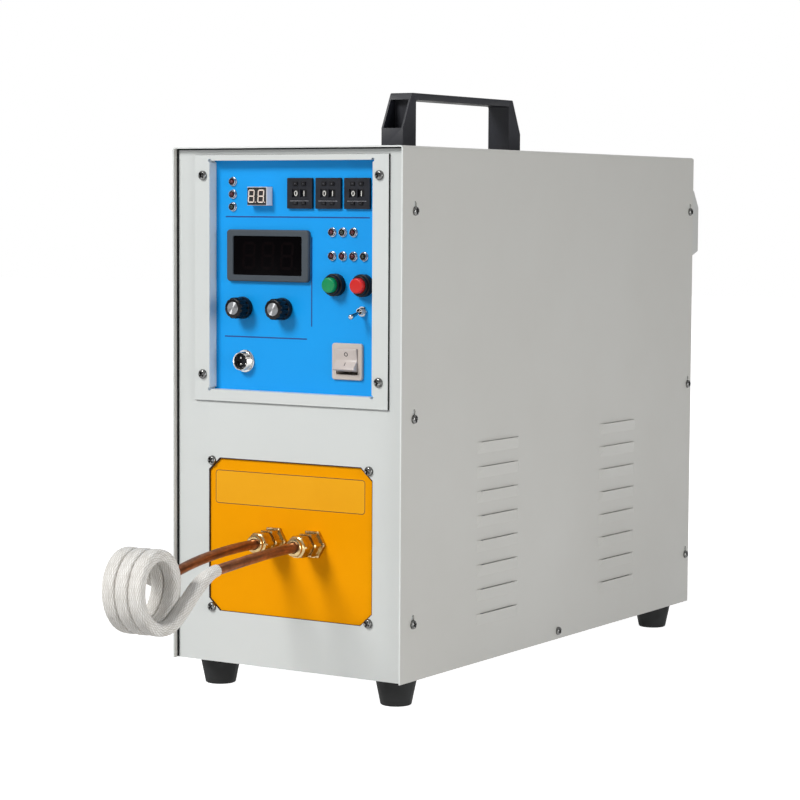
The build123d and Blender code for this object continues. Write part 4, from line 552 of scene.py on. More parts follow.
def bar(x_low, x_high, z_low, z_high):
    """The outline of an upright rectangle."""
    return [(x_low, z_low), (x_high, z_low), (x_high, z_high), (x_low, z_high)]


def ring_of(bm, outer, inner, front, back):
    """A flat closed ring added to a mesh, between two outlines with as many points."""
    loops = [[bm.verts.new(place(x, depth, z)) for x, z in outline]
             for outline, depth in ((outer, back), (outer, front), (inner, front), (inner, back))]
    for low, high in zip(loops, loops[1:] + loops[:1]):
        for i in range(len(low)):
            bm.faces.new((low[i - 1], low[i], high[i], high[i - 1]))


# Near-black, a painted shadow that fills the joints' gaps.
shadow_gap_black = finish("shadow_gap_black", srgb(20, 21, 22), srgb(34, 35, 36), share=0.5, patch=0.01, grain=0.0005,
                     depth=0.00002, rough=(0.6, 0.8), specular_ior_level=0.2)
under_frame = bar(-95.2, 100.6, 224.75, 433.45), bar(-93.4, 98.8, 226.6, 431.6)
edge_low, edge_high, edge_side, edge_width = 1.0, 438.7, 113.2, (1.55, 1.1)
ring_front, strip_front = 3.85, 4.4
at_cover = [bar(-edge_side - edge_width[0], -edge_side, edge_low, edge_high),
            bar(edge_side, edge_side + edge_width[0], edge_low, edge_high),
            bar(-edge_side, edge_side, edge_high - edge_width[1], edge_high)]
bm = bmesh.new()
ring_of(bm, *under_frame, ring_front, panel_front)
for strip in at_cover:
    slice_of(bm, strip, strip_front, panel_front)
piece("joint_seals", bm, shadow_gap_black)


def cut_corners(inset_left, inset_right, inset_low, inset_high):
    """The output window's outline with its cut corners, moved inwards by an inset on each side."""
    low_x, high_x = output_x - window_half[0] + inset_left, output_x + window_half[0] - inset_right
    low_z, high_z = output_z - window_half[1] + inset_low, output_z + window_half[1] - inset_high
    a, b = notch_cut
    return [(low_x + a, low_z), (high_x - a, low_z), (high_x, low_z + b), (high_x, high_z - b),
            (high_x - a, high_z), (low_x + a, high_z), (low_x, high_z - b), (low_x, low_z + b)]


# A dark brown ring on the output window's edge, painted shadow where the sheet's cut edge meets the board.
window_shade = finish("window_shade", srgb(52, 34, 24), srgb(40, 27, 20), share=0.4, patch=0.02, rough=(0.5, 0.7),
                specular_ior_level=0.2)
window_shade_outer, window_shade_inner = cut_corners(0.02, 0.02, 0.02, 0.02), cut_corners(0.8, 0.6, 0.3, 0.9)
window_shade_front, window_shade_back = 5.65, 7.04
bm = bmesh.new()
ring_of(bm, window_shade_outer, window_shade_inner, window_shade_front, window_shade_back)
piece("window_edging", bm, window_shade)

# Control plate
# A sheet steel plate behind the window, with a blue film on it. Lines printed in dark blue part its
# fields.
plate_front, ink_height = 13.5, 0.04
field_lines = bar(-69.8, 76, 380.8, 381.9), bar(-70.6, 14.1, 279.2, 280.3), bar(18.2, 19.3, 290.4, 364.8)
plate_film = finish("plate_film", srgb(14, 158, 238), srgb(10, 150, 232), share=0.5, patch=0.12,
                    grain=0.0006, depth=0.000006, rough=(0.34, 0.44), specular_ior_level=0.25)
dress(plate_film, "control_plate")
bm = bmesh.new()
for line in field_lines:
    slice_of(bm, line, plate_front - ink_height, plate_front + ink_height)
plate_ink = finish("plate_ink", srgb(2, 58, 136), srgb(2, 48, 118), share=0.3, patch=0.02, grain=0.0005,
                   depth=0.000004, rough=(0.35, 0.45))
piece("plate_print", bm, plate_ink)

# Ammeter
# A dark grey moulded case with a smoked window, behind which the unlit segments of three figures
# just show.
meter_x, meter_z, meter_pitch = -24.3, 348.8, 19.5
meter_figure, meter_stroke = (13, 23), 2.2
bezel_grey = finish("bezel_grey", srgb(66, 74, 81), srgb(54, 61, 68), share=0.4, patch=0.03, grain=0.0005,
                    depth=0.00003, rough=(0.42, 0.54), specular_ior_level=0.3)
piece("ammeter_bezel", softened("ammeter_case", 0.5, 3), bezel_grey,
      stands_for=("ammeter_case",), sharp=18)
dress(finish("smoked_window", srgb(4, 3, 4), srgb(7, 5, 6), share=0.3, patch=0.05, grain=0.001,
             depth=0.000002, rough=(0.05, 0.1), specular_ior_level=0.1), "ammeter_window")


def segment_figure(bm, x, z, width, height, stroke, front, back, slant=0.06):
    """The seven segments of a figure and its point, each a closed bar with pointed ends."""
    half = stroke / 2
    side, level = width / 2 - half, height / 2 - half
    gap = stroke * 0.12
    bars = [((-side, a * level), (side, a * level)) for a in (-1, 0, 1)]
    bars += [((a * side, b * level), (a * side, 0)) for a in (-1, 1) for b in (-1, 1)]
    for (x0, z0), (x1, z1) in bars:
        run = Vector((x1 - x0, z1 - z0)).normalized()
        across = Vector((-run.y, run.x)) * half
        start, end = Vector((x0, z0)) + run * gap, Vector((x1, z1)) - run * gap
        corners = [start, start + run * half - across, end - run * half - across, end,
                   end - run * half + across, start + run * half + across]
        slice_of(bm, [(x + p.x + slant * p.y, z + p.y) for p in corners], front, back)
    dot_x, dot_z = x + width / 2 + stroke * 0.9, z - level
    eighths = [eighth * math.pi / 4 for eighth in range(8)]
    slice_of(bm, [(dot_x + half * math.cos(a), dot_z + half * math.sin(a)) for a in eighths], front, back)


bm = bmesh.new()
window_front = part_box("ammeter_window")[0].y * 1000 - place(0, 0, 0).y * 1000
for step in (-1, 0, 1):
    segment_figure(bm, meter_x + step * meter_pitch, meter_z, *meter_figure, meter_stroke,
                   window_front - ink_height, window_front + ink_height)
unlit = finish("unlit_segments", srgb(12, 7, 8), srgb(10, 6, 7), share=0.4, patch=0.01, grain=0.0005,
               depth=0.000002, rough=(0.05, 0.1), specular_ior_level=0.1)
piece("ammeter_figures", bm, unlit)

# Countdown display
# A two-figure block soldered to the board and set through the plate: a white moulded case with a
# black face, and pale segments that have a warm rim when they are off.
display_x, display_z, display_front = -31.7, 398.7, 5.3
figure_left, figure_apart, display_figure = 0.7, 4.9, (6.4, 11)
face_size, face_corner, face_out, face_in = (19.2, 14.6), 0.3, 0.06, 0.1
dress(finish("display_housing", srgb(222, 222, 226), srgb(204, 204, 208), share=0.3, patch=0.01,
             rough=(0.4, 0.5)), "countdown_display")


def rounded(x, z, width, height, corner, steps=6):
    """The outline of a rectangle with rounded corners."""
    points = []
    for quarter, (a, b) in enumerate(((1, 1), (-1, 1), (-1, -1), (1, -1))):
        for step in range(steps + 1):
            angle = math.pi / 2 * (quarter + step / steps)
            points.append((x + a * (width / 2 - corner) + corner * math.cos(angle),
                           z + b * (height / 2 - corner) + corner * math.sin(angle)))
    return points


bm = bmesh.new()
slice_of(bm, rounded(display_x, display_z, *face_size, face_corner), display_front - face_out,
         display_front + face_in)
display_black = finish("display_face", srgb(16, 15, 17), srgb(24, 22, 24), share=0.3, patch=0.01,
                       grain=0.0004, depth=0.000006, rough=(0.3, 0.42))
piece("display_face", bm, display_black)
segment_rim = finish("segment_rim", srgb(104, 50, 38), srgb(84, 40, 32), share=0.4, patch=0.004)
pale_segment = finish("pale_segment", srgb(244, 234, 222), srgb(230, 214, 200), share=0.4, patch=0.004)
for name, stroke, lift, material in (("display_rims", 1.35, 0.09, segment_rim),
                                     ("display_figures", 0.9, 0.12, pale_segment)):
    bm = bmesh.new()
    for side in (-1, 1):
        segment_figure(bm, display_x - figure_left + side * figure_apart, display_z, *display_figure,
                       stroke, display_front - lift, display_front)
    piece(name, bm, material)

# Pushwheel timers
# Three black moulded cases, each with two ten-sided wheels behind its windows, white figures
# printed on their faces, and a key above and below each wheel to step it up or down.
timer_x, timer_z = (7.7, 36.2, 64.7), 401.2
wheel_window_half, window_slope = (2.7, 2.4), (0.8, 1.5)
line_half, line_drop, line_width = 9.4, 6.5, 0.35
figure_height, figure_widening, figure_shift = 4.5, 1.12, -0.85
mark_arm, mark_half, mark_height = 0.75, 0.16, 0.05
wheel_pitch, wheel_depth, wheel_apothem, wheel_faces = 8.2, 20.4, 7.42, 10
case_black = finish("timer_moulding", srgb(20, 22, 29), srgb(36, 38, 46), share=0.5, patch=0.008,
                    grain=0.0004, depth=0.00003, rough=(0.36, 0.5), specular_ior_level=0.25)
key_black = finish("key_moulding", srgb(10, 10, 14), srgb(22, 22, 27), share=0.4, patch=0.004, grain=0.0004,
                   depth=0.00001, rough=(0.26, 0.4), specular_ior_level=0.3)
wheel_black = finish("wheel_moulding", srgb(10, 10, 12), srgb(18, 18, 20), share=0.4, patch=0.004,
                     grain=0.0004, depth=0.00001, rough=(0.35, 0.5), specular_ior_level=0.2)
white_ink = finish("white_ink", srgb(238, 237, 232), srgb(222, 220, 214), share=0.4, patch=0.002,
                   grain=0.0004, depth=0.000004, rough=(0.4, 0.5))
key_ink = finish("key_ink", srgb(74, 74, 80), srgb(60, 60, 66), share=0.3, patch=0.004)
bm = bmesh.new()
timer_front = (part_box("timer_cases")[0].y - cover_low.y) * 1000
for x in timer_x:
    line = bar(x - line_half, x + line_half, timer_z - line_drop, timer_z - line_drop + line_width)
    slice_of(bm, line, timer_front - ink_height, timer_front + ink_height)
line_ink = finish("line_ink", srgb(150, 150, 156), srgb(120, 120, 126), share=0.5, patch=0.002)
piece("timer_lines", bm, line_ink)


def sloped_window(point):
    """Moves the front corners of the wheel windows outwards, to a sloped rim."""
    x, z = point.x * 1000, (point.z - cover_low.z) * 1000 - timer_z
    centres = [middle + side * wheel_pitch / 2 for middle in timer_x for side in (-1, 1)]
    centre = min(centres, key=lambda at: abs(at - x))
    off_x, off_z = abs(x - centre) - wheel_window_half[0], abs(z) - wheel_window_half[1]
    in_front = abs((point.y - cover_low.y) * 1000 - timer_front) < 0.05
    if in_front and abs(off_x) < 0.1 and abs(off_z) < 0.1:
        slope = Vector((math.copysign(window_slope[0], x - centre), 0, math.copysign(window_slope[1], z)))
        return point + slope / 1000
    return point


piece("timer_housings", softened("timer_cases", 0.25, opened=sloped_window), case_black,
      stands_for=("timer_cases",), sharp=18)


def lettering(text, height, boldness=0.0):
    """A flat mesh of a figure or mark, centred, as high as is given, with +Z towards the reader."""
    words = bpy.data.curves.new("lettering", "FONT")
    words.body = text
    words.resolution_u = 4
    words.offset = boldness
    holder = bpy.data.objects.new("lettering", words)
    scene.collection.objects.link(holder)
    mesh = plain_mesh(holder)
    low = Vector([min(v.co[i] for v in mesh.vertices) for i in range(3)])
    high = Vector([max(v.co[i] for v in mesh.vertices) for i in range(3)])
    growth = height / 1000 / (high.y - low.y)
    mesh.transform(Matrix.Scale(growth, 4) @ Matrix.Translation(-(low + high) / 2))
    return mesh


def gather(name, placed):
    """One mesh of several, each first moved by its own matrix."""
    bm = bmesh.new()
    for mesh, matrix in placed:
        copy = mesh.copy()
        copy.transform(matrix)
        bm.from_mesh(copy)
        bpy.data.meshes.remove(copy)
    mesh = bpy.data.meshes.new(name)
    bm.to_mesh(mesh)
    bm.free()
    return mesh


upright = Matrix.Rotation(math.pi / 2, 4, "X")
numerals = [lettering(str(figure), figure_height) for figure in range(wheel_faces)]
for figure in numerals:
    figure.transform(Matrix.Scale(figure_widening, 4, (1, 0, 0)))
for number, x in enumerate(timer_x, 1):
    for side, part_name, shown_figure in ((-1, "tens", 0), (1, "units", 1)):
        wheel = f"timer_{number}_{part_name}_wheel"
        axle = place(x + side * wheel_pitch / 2, wheel_depth, timer_z)
        placed = []
        for figure in range(wheel_faces):
            step = -(figure - shown_figure) * 2 * math.pi / wheel_faces
            outward = Matrix.Translation((figure_shift / 1000, -(wheel_apothem + 0.03) / 1000, 0)) @ upright
            placed.append((numerals[figure],
                           Matrix.Translation(axle) @ Matrix.Rotation(step, 4, "X") @ outward))
        piece(f"{wheel}_figures", gather(f"{wheel}_figures", placed), white_ink, wheel)
        dress(wheel_black, wheel)
        for key in ("plus", "minus"):
            body = f"timer_{number}_{part_name}_{key}"
            key_low, key_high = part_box(body)
            centre_x = (key_low.x + key_high.x) * 500
            centre_z = ((key_low.z + key_high.z) / 2 - cover_low.z) * 1000
            front = (key_low.y - cover_low.y) * 1000
            left, right = centre_x - mark_half, centre_x + mark_half
            low, high = centre_z - mark_half, centre_z + mark_half
            cross = [bar(centre_x - mark_arm, centre_x + mark_arm, low, high)]
            if key == "plus":
                cross += [bar(left, right, high, centre_z + mark_arm),
                          bar(left, right, centre_z - mark_arm, low)]
            bm = bmesh.new()
            for shape in cross:
                slice_of(bm, shape, front - mark_height, front + mark_height)
            piece(body + "_mark", bm, key_ink, body)
            dress(key_black, body)

# Indicator lamps
# Ten small lamps, each a red or green lens in a black plug and a bright cupped bezel that is pushed
# into the plate.
lamp_pitch, lamp_growth, green_lamps = 10.5, 1.22, {2, 4, 9}
lamp_spots = [(-62.0, z) for z in (411.0, 400.3, 389.7)]
lamp_spots += [(39.3 + lamp_pitch * n, 369.2) for n in range(3)]
lamp_spots += [(39.3 + lamp_pitch * n, 349.5) for n in range(4)]
bezel_profile = [(0, -6.0), (2.5, -6.0), (2.5, 0), (3.3, 0), (3.3, 0.35), (3.15, 0.6), (2.9, 0.65),
                 (2.85, 1.5), (2.65, 1.85), (2.45, 1.95), (2.2, 1.75), (2.1, 0.7), (2.1, -1.0), (0, -1.0)]
lens_profile = [(0, -0.9), (1.4, -0.9), (1.4, 1.6), (1.3, 2.0), (1.05, 2.35), (0.65, 2.55), (0, 2.6)]
plug_profile = [(0, -0.9), (2.05, -0.9), (2.05, 0.9), (1.5, 1.3), (0, 1.3)]


def upright_part(name, profile, sides):
    """A turned part that stands on zero, facing +Z."""
    bm = bmesh.new()
    turned(bm, profile, Vector((0, 0, 0)), (0, 0, 1), sides)
    return finished_mesh(bm, name)


dark_nickel = finish("dark_nickel", srgb(196, 197, 200), srgb(96, 97, 102), share=0.8, patch=0.003,
                     grain=0.0004, depth=0.000004, rough=(0.08, 0.2), metallic=1.0)
bezel = upright_part("lamp_bezel", bezel_profile, 28)
lens_dome = upright_part("lamp_dome", lens_profile, 24)
plug = upright_part("lamp_plug", plug_profile, 24)
all_lamps = [(place(x, plate_front, z), (0, -1, 0), lamp_growth) for x, z in lamp_spots]
piece("bezel_rings", spread("bezel_rings", bezel, all_lamps, dark_nickel), dark_nickel,
      stands_for=("lamp_bezels",), sharp=50)
lamp_red = finish("lamp_red", srgb(88, 8, 26), srgb(58, 6, 18), share=0.4, patch=0.003, grain=0.0005,
                  depth=0.000002, rough=(0.08, 0.16))
lamp_green = finish("lamp_green", srgb(24, 42, 30), srgb(16, 32, 22), share=0.4, patch=0.003, grain=0.0005,
                    depth=0.000002, rough=(0.08, 0.16))
lamp_black = finish("lamp_plug", srgb(12, 12, 16), srgb(22, 22, 28), share=0.4, patch=0.004,
                    specular_ior_level=0.2)
piece("lamp_plugs", spread("lamp_plugs", plug, all_lamps, lamp_black), lamp_black)
for name, material, chosen in (("red_lenses", lamp_red, False), ("green_lenses", lamp_green, True)):
    spots = [spot for index, spot in enumerate(all_lamps) if (index in green_lamps) == chosen]
    piece(name, spread(name, lens_dome, spots, material), material, stands_for=("lamp_lenses",),
          sharp=60)

# Push buttons
# A green start and a red stop button: domed caps in black moulded housings with a stepped collar.
black = finish("black_moulding", srgb(9, 11, 18), srgb(20, 22, 30), share=0.4, patch=0.01, grain=0.0005,
               depth=0.00002, rough=(0.3, 0.42), specular_ior_level=0.22)
cap_red = finish("red_cap", srgb(204, 34, 30), srgb(186, 26, 24), share=0.4, patch=0.006, grain=0.0005,
                 depth=0.00001, rough=(0.3, 0.42), specular_ior_level=0.35)
cap_green = finish("green_cap", srgb(2, 138, 82), srgb(2, 120, 70), share=0.4, patch=0.006, grain=0.0005,
                   depth=0.00001, rough=(0.3, 0.42), specular_ior_level=0.35)
buttons = (("green_button", 43.3, cap_green, "green_plastic"), ("red_button", 70.9, cap_red, "red_plastic"))
button_z, button_sides = 325.7, 56
collar_profile = [(0, 12.4), (6.6, 12.4), (6.6, 4.9), (6.9, 4.5), (7.6, 4.5), (7.9, 4.65), (8.0, 5.0),
                  (8.05, 7.1), (8.3, 7.5), (9.0, 7.55), (9.3, 7.75), (9.4, 8.1), (9.4, 13.5), (5.8, 13.5),
                  (5.8, 33.4), (0, 33.4)]
cap_profile = [(0, 0.0), (2.5, 0.03), (4.6, 0.12), (5.5, 0.25), (5.95, 0.5), (6.25, 0.95), (6.4, 1.6),
               (6.4, 8.6), (3.0, 8.8), (3.0, 9.2), (0, 9.2)]
bm = bmesh.new()
for _, x, _, _ in buttons:
    turned(bm, collar_profile, place(x, 0, button_z), sides=button_sides)
piece("button_collars", bm, black,
      stands_for=("button_housings",), sharp=50)
for body, x, material, slot in buttons:
    bm = bmesh.new()
    turned(bm, cap_profile, place(x, 0, button_z), sides=button_sides)
    piece(body + "_cap", bm, material, body, (body,), 50)

# Knobs
# Two black moulded knobs with twelve finger scallops and a spun aluminium disc pressed into the
# face, each on the steel shaft of the potentiometer behind the plate.
knob_z, knob_radius, flute_count, flute_depth, flute_half = 304.4, 9.0, 12, 1.15, 1.6
grip_profile = [(0, -2.3), (5.5, -2.3), (5.55, -2.5), (7.4, -2.5), (8.1, -2.2), (8.6, -1.6), (9.0, -0.8),
                (9.0, 8.4), (0, 8.4)]
skirt_profile = [(0, 8.0), (8.8, 8.0), (9.1, 8.3), (9.35, 9.4), (9.5, 11.0), (9.5, 12.5), (9.4, 12.9),
                 (9.1, 13.0), (7.0, 13.0), (7.0, 9.2), (0, 9.2)]
disc_profile = [(0, -2.66), (0.4, -2.68), (4.7, -2.98), (5.1, -2.96), (5.35, -2.8), (5.42, -2.2), (0, -2.2)]
shaft_profile = [(0, 8.0), (3.0, 8.0), (3.0, 21.0), (0, 21.0)]


def fluted(angle):
    """The knob's radius at an angle: round, with a shallow scallop at each of its flutes."""
    pitch = 2 * math.pi / flute_count
    off = knob_radius * abs((angle + pitch / 2) % pitch - pitch / 2)
    if off >= flute_half:
        return knob_radius
    return knob_radius - flute_depth * math.cos(math.pi / 2 * off / flute_half) ** 2


spun = finish("spun_aluminium", srgb(160, 161, 163), srgb(144, 145, 147), share=0.4, patch=0.004,
              grain=0.0003, depth=0.0, rough=(0.42, 0.46), metallic=1.0, anisotropic=1.0,
              anisotropic_rotation=0.25)
wheel_way = add_node(spun.node_tree, "ShaderNodeTangent", direction_type="UV_MAP", uv_map="around")
spun.node_tree.links.new(wheel_way.outputs[0], spun.node_tree.nodes["Principled BSDF"].inputs["Tangent"])
knob_black = finish("knob_moulding", srgb(7, 6, 9), srgb(16, 14, 18), share=0.4, patch=0.01, grain=0.0004,
                    depth=0.00002, rough=(0.22, 0.34), specular_ior_level=0.22)
shaft_steel = finish("shaft_steel", srgb(176, 176, 174), srgb(140, 140, 140), share=0.5, patch=0.004,
                     metallic=1.0)
for body, x in (("power_knob", -50.9), ("preheat_knob", -9.9)):
    middle = place(x, 0, knob_z)
    bm = bmesh.new()
    turned(bm, grip_profile, middle, sides=144, outline=fluted)
    turned(bm, skirt_profile, middle, sides=72)
    piece(body + "_grip", bm, knob_black, body, (body,), 40)
    bm = bmesh.new()
    turned(bm, disc_profile, middle, sides=72)
    piece(body + "_disc", bm, spun, body, sharp=30)
    bm = bmesh.new()
    turned(bm, shaft_profile, middle, sides=32)
    piece(body + "_shaft", bm, shaft_steel, body)
chrome = finish("bright_nickel", srgb(222, 221, 218), srgb(168, 168, 168), share=0.5, patch=0.004,
                grain=0.0004, depth=0.000004, rough=(0.1, 0.24), metallic=1.0)
dress(chrome, "potentiometers")

# Toggle switch
# A nickel plated bushing with a fine thread and a hexagon nut, and a bright lever that thickens
# towards its rounded tip.
toggle_x, toggle_z, toggle_pivot, toggle_tilt = 69.8, 304.4, 10.1, 15.0
case_half, case_front, case_back = (4, 6.5), 15.0, 25.0


def hexagon_of(across):
    """The outline of a hexagon by the distance across its flats."""
    sixth = math.pi / 3
    return lambda angle: across / 2 / math.cos(angle % sixth - sixth / 2)


def thread(radius, start, end, pitch, depth):
    """The profile of ridges along a threaded length."""
    points = []
    for turn_number in range(max(1, round(abs(end - start) / pitch))):
        at = start + math.copysign(pitch, end - start) * turn_number
        points += [(radius - depth, at), (radius, at + math.copysign(pitch, end - start) * 0.5)]
    return points + [(radius - depth, end)]


bushing_profile = [(0, 13.4), (2.4, 13.4), (2.4, 7.6), (2.6, 7.5), (2.75, 7.5)]
bushing_profile += thread(3.0, 7.6, 15.0, 0.6, 0.18) + [(0, 15.0)]
nut_profile = [(0, 13.5), (4.7, 13.5), (4.7, 11.9), (4.1, 11.5), (2.6, 11.5), (0, 11.5)]
lever_profile = [(0, -2.2), (1.4, -1.7), (2.1, -0.6), (2.2, 0), (2.1, 0.6), (1.7, 1.4), (1.3, 1.95),
                 (1.2, 2.4), (1.35, 6.0), (1.75, 12.0), (2.15, 15.0), (2.1, 16.0), (1.7, 16.6),
                 (1.0, 16.93), (0, 17.0)]
bm = bmesh.new()
turned(bm, bushing_profile, place(toggle_x, 0, toggle_z), sides=36)
turned(bm, nut_profile, place(toggle_x, 0, toggle_z), sides=48, outline=hexagon_of(8.0))
case_low, case_high = toggle_z - case_half[1], toggle_z + case_half[1]
slice_of(bm, bar(toggle_x - case_half[0], toggle_x + case_half[0], case_low, case_high), case_front,
         case_back)
piece("toggle_bushing", bm, chrome, stands_for=("toggle_body",))
tilt = math.radians(toggle_tilt)
lever_way = (0, -math.cos(tilt), -math.sin(tilt))
bm = bmesh.new()
turned(bm, lever_profile, place(toggle_x, toggle_pivot, toggle_z), lever_way, 28)
piece("toggle_lever_bright", bm, dark_nickel, "toggle_lever",
      ("toggle_lever",), 60)

# Rocker switch
# A two-pole power switch with an ivory frame and paddle, pressed at the top and marked O and I.
rocker_x, rocker_z, rocker_pivot, rocker_tilt = 55.6, 262.5, 16.0, -14.0
paddle_half, valley_out, end_rise, end_reach, valley_round = 10.5, 5.5, 3.9, 8.2, 0.8
flat_end, flat_steps = 8.0, 16
ivory = finish("ivory_moulding", srgb(200, 190, 182), srgb(188, 176, 168), share=0.4, patch=0.02,
               grain=0.0006, depth=0.00001, rough=(0.3, 0.42), specular_ior_level=0.4)
mark_grey = finish("mark_ink", srgb(58, 52, 50), srgb(48, 42, 40), share=0.3, patch=0.004)
paddle_ivory = finish("paddle_moulding", srgb(198, 188, 183), srgb(184, 172, 165), share=0.5, patch=0.012,
                      grain=0.0006, depth=0.00001, rough=(0.26, 0.38), specular_ior_level=0.4)
piece("rocker_surround", softened("rocker_frame", 0.5, 3), ivory,
      stands_for=("rocker_frame",), sharp=18)
lean = (Matrix.Translation(place(rocker_x, rocker_pivot, rocker_z))
        @ Matrix.Rotation(math.radians(rocker_tilt), 4, "X"))


def paddle_front(along):
    """How far the paddle's front, two flats that meet in a soft valley, stands out at a height."""
    return valley_out + end_rise * math.hypot(along, valley_round) / end_reach


heights = [flat_end - 2 * flat_end * step / flat_steps for step in range(flat_steps + 1)]
nose = [(-9.25, -8.55), (-8.9, -8.95), (-8.3, -9.1)]
profile = [(y, -z) for y, z in reversed(nose)] + [(-paddle_front(z), z) for z in heights] + nose
profile += [(-3.0, -9.3), (3.5, -5.0), (3.5, 5.0), (-3.0, 9.3)]
bm = bmesh.new()
loops = [[bm.verts.new(Vector((x / 1000, y / 1000, z / 1000))) for y, z in profile]
         for x in (-paddle_half, paddle_half)]
bm.faces.new(loops[0])
bm.faces.new(loops[1][::-1])
for i in range(len(profile)):
    bm.faces.new((loops[0][i - 1], loops[0][i], loops[1][i], loops[1][i - 1]))
mesh = finished_mesh(bm, "paddle")
mesh.transform(lean)
piece("rocker_paddle_moulding", bevelled("paddle", mesh, 0.4, 3, 50), paddle_ivory,
      "rocker_paddle", ("rocker_paddle",), 40)
marks = []
for text, along, height in (("O", 4.4, 3.7), ("I", -3.9, 3.2)):
    slope = math.atan2(paddle_front(along + 0.1) - paddle_front(along - 0.1), 0.2)
    at = (Matrix.Translation((0, -(paddle_front(along) + 0.05) / 1000, along / 1000))
          @ Matrix.Rotation(slope, 4, "X"))
    marks.append((lettering(text, height, 0.03), lean @ at @ upright))
piece("rocker_marks", gather("rocker_marks", marks), mark_grey, "rocker_paddle")

# Pedal socket
# A four-pin round socket: a turned and threaded nickel shell with a flange, and a black insert that
# carries the pins.
socket_x, socket_z, pin_circle = -48.9, 259.2, 3.9
shell_profile = [(0, 27.0), (6.8, 27.0), (6.8, 6.0), (7.2, 5.5), (7.5, 5.5)]
shell_profile += thread(8.0, 5.8, 11.6, 0.9, 0.3)
shell_profile += [(7.7, 11.9), (9.2, 11.9), (9.6, 12.3), (9.6, 13.5), (8.0, 13.5), (8.0, 27.0), (0, 27.0)]
core_profile = [(0, 12.0), (6.3, 12.0), (6.7, 12.3), (6.7, 26.9), (0, 26.9)]
pin_profile = [(0, 12.5), (1.0, 12.5), (1.0, 10.6), (0.85, 10.2), (0.5, 9.95), (0, 9.9)]
bm = bmesh.new()
turned(bm, shell_profile, place(socket_x, 0, socket_z), sides=64)
piece("socket_shell", bm, chrome, stands_for=("pedal_socket",))
bm = bmesh.new()
turned(bm, core_profile, place(socket_x, 0, socket_z), sides=48)
piece("socket_core", bm, black, stands_for=("pedal_socket_insert",))
bm = bmesh.new()
for step in range(4):
    angle = math.pi / 4 + step * math.pi / 2
    pin = place(socket_x + pin_circle * math.cos(angle), 0, socket_z + pin_circle * math.sin(angle))
    turned(bm, pin_profile, pin, sides=20)
piece("socket_pins", bm, chrome, sharp=50)

# Output board
# An orange moulded laminate board behind the lower window, with a slightly paler field on it inside
# a thin printed frame.
board_front, field_x, field_z = 7.0, 0.8, 151.3
field_edge, frame_edge = (rounded(field_x, field_z, *size)
                          for size in ((151.1, 27.5, 2.45), (152.2, 28.6, 3.0)))
orange = finish("orange_board", srgb(244, 160, 0), srgb(236, 150, 0), share=0.5, patch=0.08, grain=0.0009,
                depth=0.00001, rough=(0.4, 0.55), specular_ior_level=0.04)
dress(orange, "output_board")
bm = bmesh.new()
ring_of(bm, frame_edge, field_edge, board_front - ink_height, board_front + ink_height)
board_ink = finish("board_ink", srgb(56, 36, 12), srgb(46, 30, 10), share=0.3, patch=0.02)
piece("board_print", bm, board_ink)
bm = bmesh.new()
slice_of(bm, field_edge, board_front - ink_height * 0.6, board_front + ink_height)
pale_film = finish("pale_film", srgb(240, 169, 20), srgb(232, 160, 14), share=0.5, patch=0.05, grain=0.0009,
                   depth=0.00001, rough=(0.34, 0.5), specular_ior_level=0.15)
piece("board_field", bm, pale_film)

# Output fittings
# Machined brass: a thin flange nut against the board, a hexagon body with a short thread, and a
# long flare nut that holds the tube, with chamfered corners as turned from bar.
fitting_x, fitting_z = (6.2 - 19.8, 6.2 + 19.8), 109.0
flange_profile = [(0, 7.0), (11.6, 7.0), (12.7, 6.5), (12.7, 4.2), (11.4, 3.5), (9.2, 3.5), (0, 3.5)]
body_profile = [(0, 3.6), (9.6, 3.6), (11.0, 2.9), (11.0, -5.6), (9.8, -6.6), (7.6, -6.6), (0, -6.6)]
thread_profile = [(0, -6.4)] + thread(7.6, -6.4, -8.4, 0.7, 0.3) + [(0, -8.4)]
stem_profile = [(0, 7.0), (7.0, 7.0), (7.0, 33.0), (0, 33.0)]
flare_profile = [(0, -8.1), (8.6, -8.1), (10.1, -9.1), (10.1, -17.6), (9.0, -19.2), (7.9, -19.9),
                 (7.55, -20.6), (7.5, -23.2), (7.1, -23.9), (6.6, -24.0), (4.9, -24.0), (4.4, -23.5),
                 (4.4, -22.0), (0, -22.0)]
back_nut_profile = [(0, 11.0), (11.6, 11.0), (12.7, 11.6), (12.7, 15.4), (11.6, 16.0), (0, 16.0)]
brass = finish("machined_brass", srgb(204, 184, 138), srgb(146, 108, 62), share=0.75, patch=0.005,
               grain=0.0003, depth=0.00001, rough=(0.12, 0.3), metallic=1.0)
flange_flats, body_flats, flare_flats = hexagon_of(22.0), hexagon_of(19.0), hexagon_of(17.5)
bm = bmesh.new()
for x in fitting_x:
    spot = place(x, 0, fitting_z)
    turned(bm, flange_profile, spot, sides=72, outline=flange_flats)
    turned(bm, body_profile, spot, sides=72, outline=body_flats)
    turned(bm, thread_profile, spot, sides=48)
    turned(bm, stem_profile, spot, sides=40)
piece("fitting_bodies", bm, brass, stands_for=("output_fittings",), sharp=25)
bm = bmesh.new()
for x in fitting_x:
    spot = place(x, 0, fitting_z)
    turned(bm, flare_profile, spot, sides=72, outline=flare_flats)
    turned(bm, back_nut_profile, spot, sides=72, outline=flange_flats)
piece("flare_nuts", bm, brass, stands_for=("fitting_nuts",), sharp=25)

# Work coil and its sleeve
# One soft copper tube, wound in not quite three open turns and led back to the fittings, browned by
# heat. Woven glass sleeving covers the turns: two sets of flat strands that pass over and under.
tube_radius, coil_radius, coil_pitch = 4.2, 28.5, 12.3
coil_start, coil_yaw = Vector((27.5, -203.0, 94.4)), math.radians(3.2)


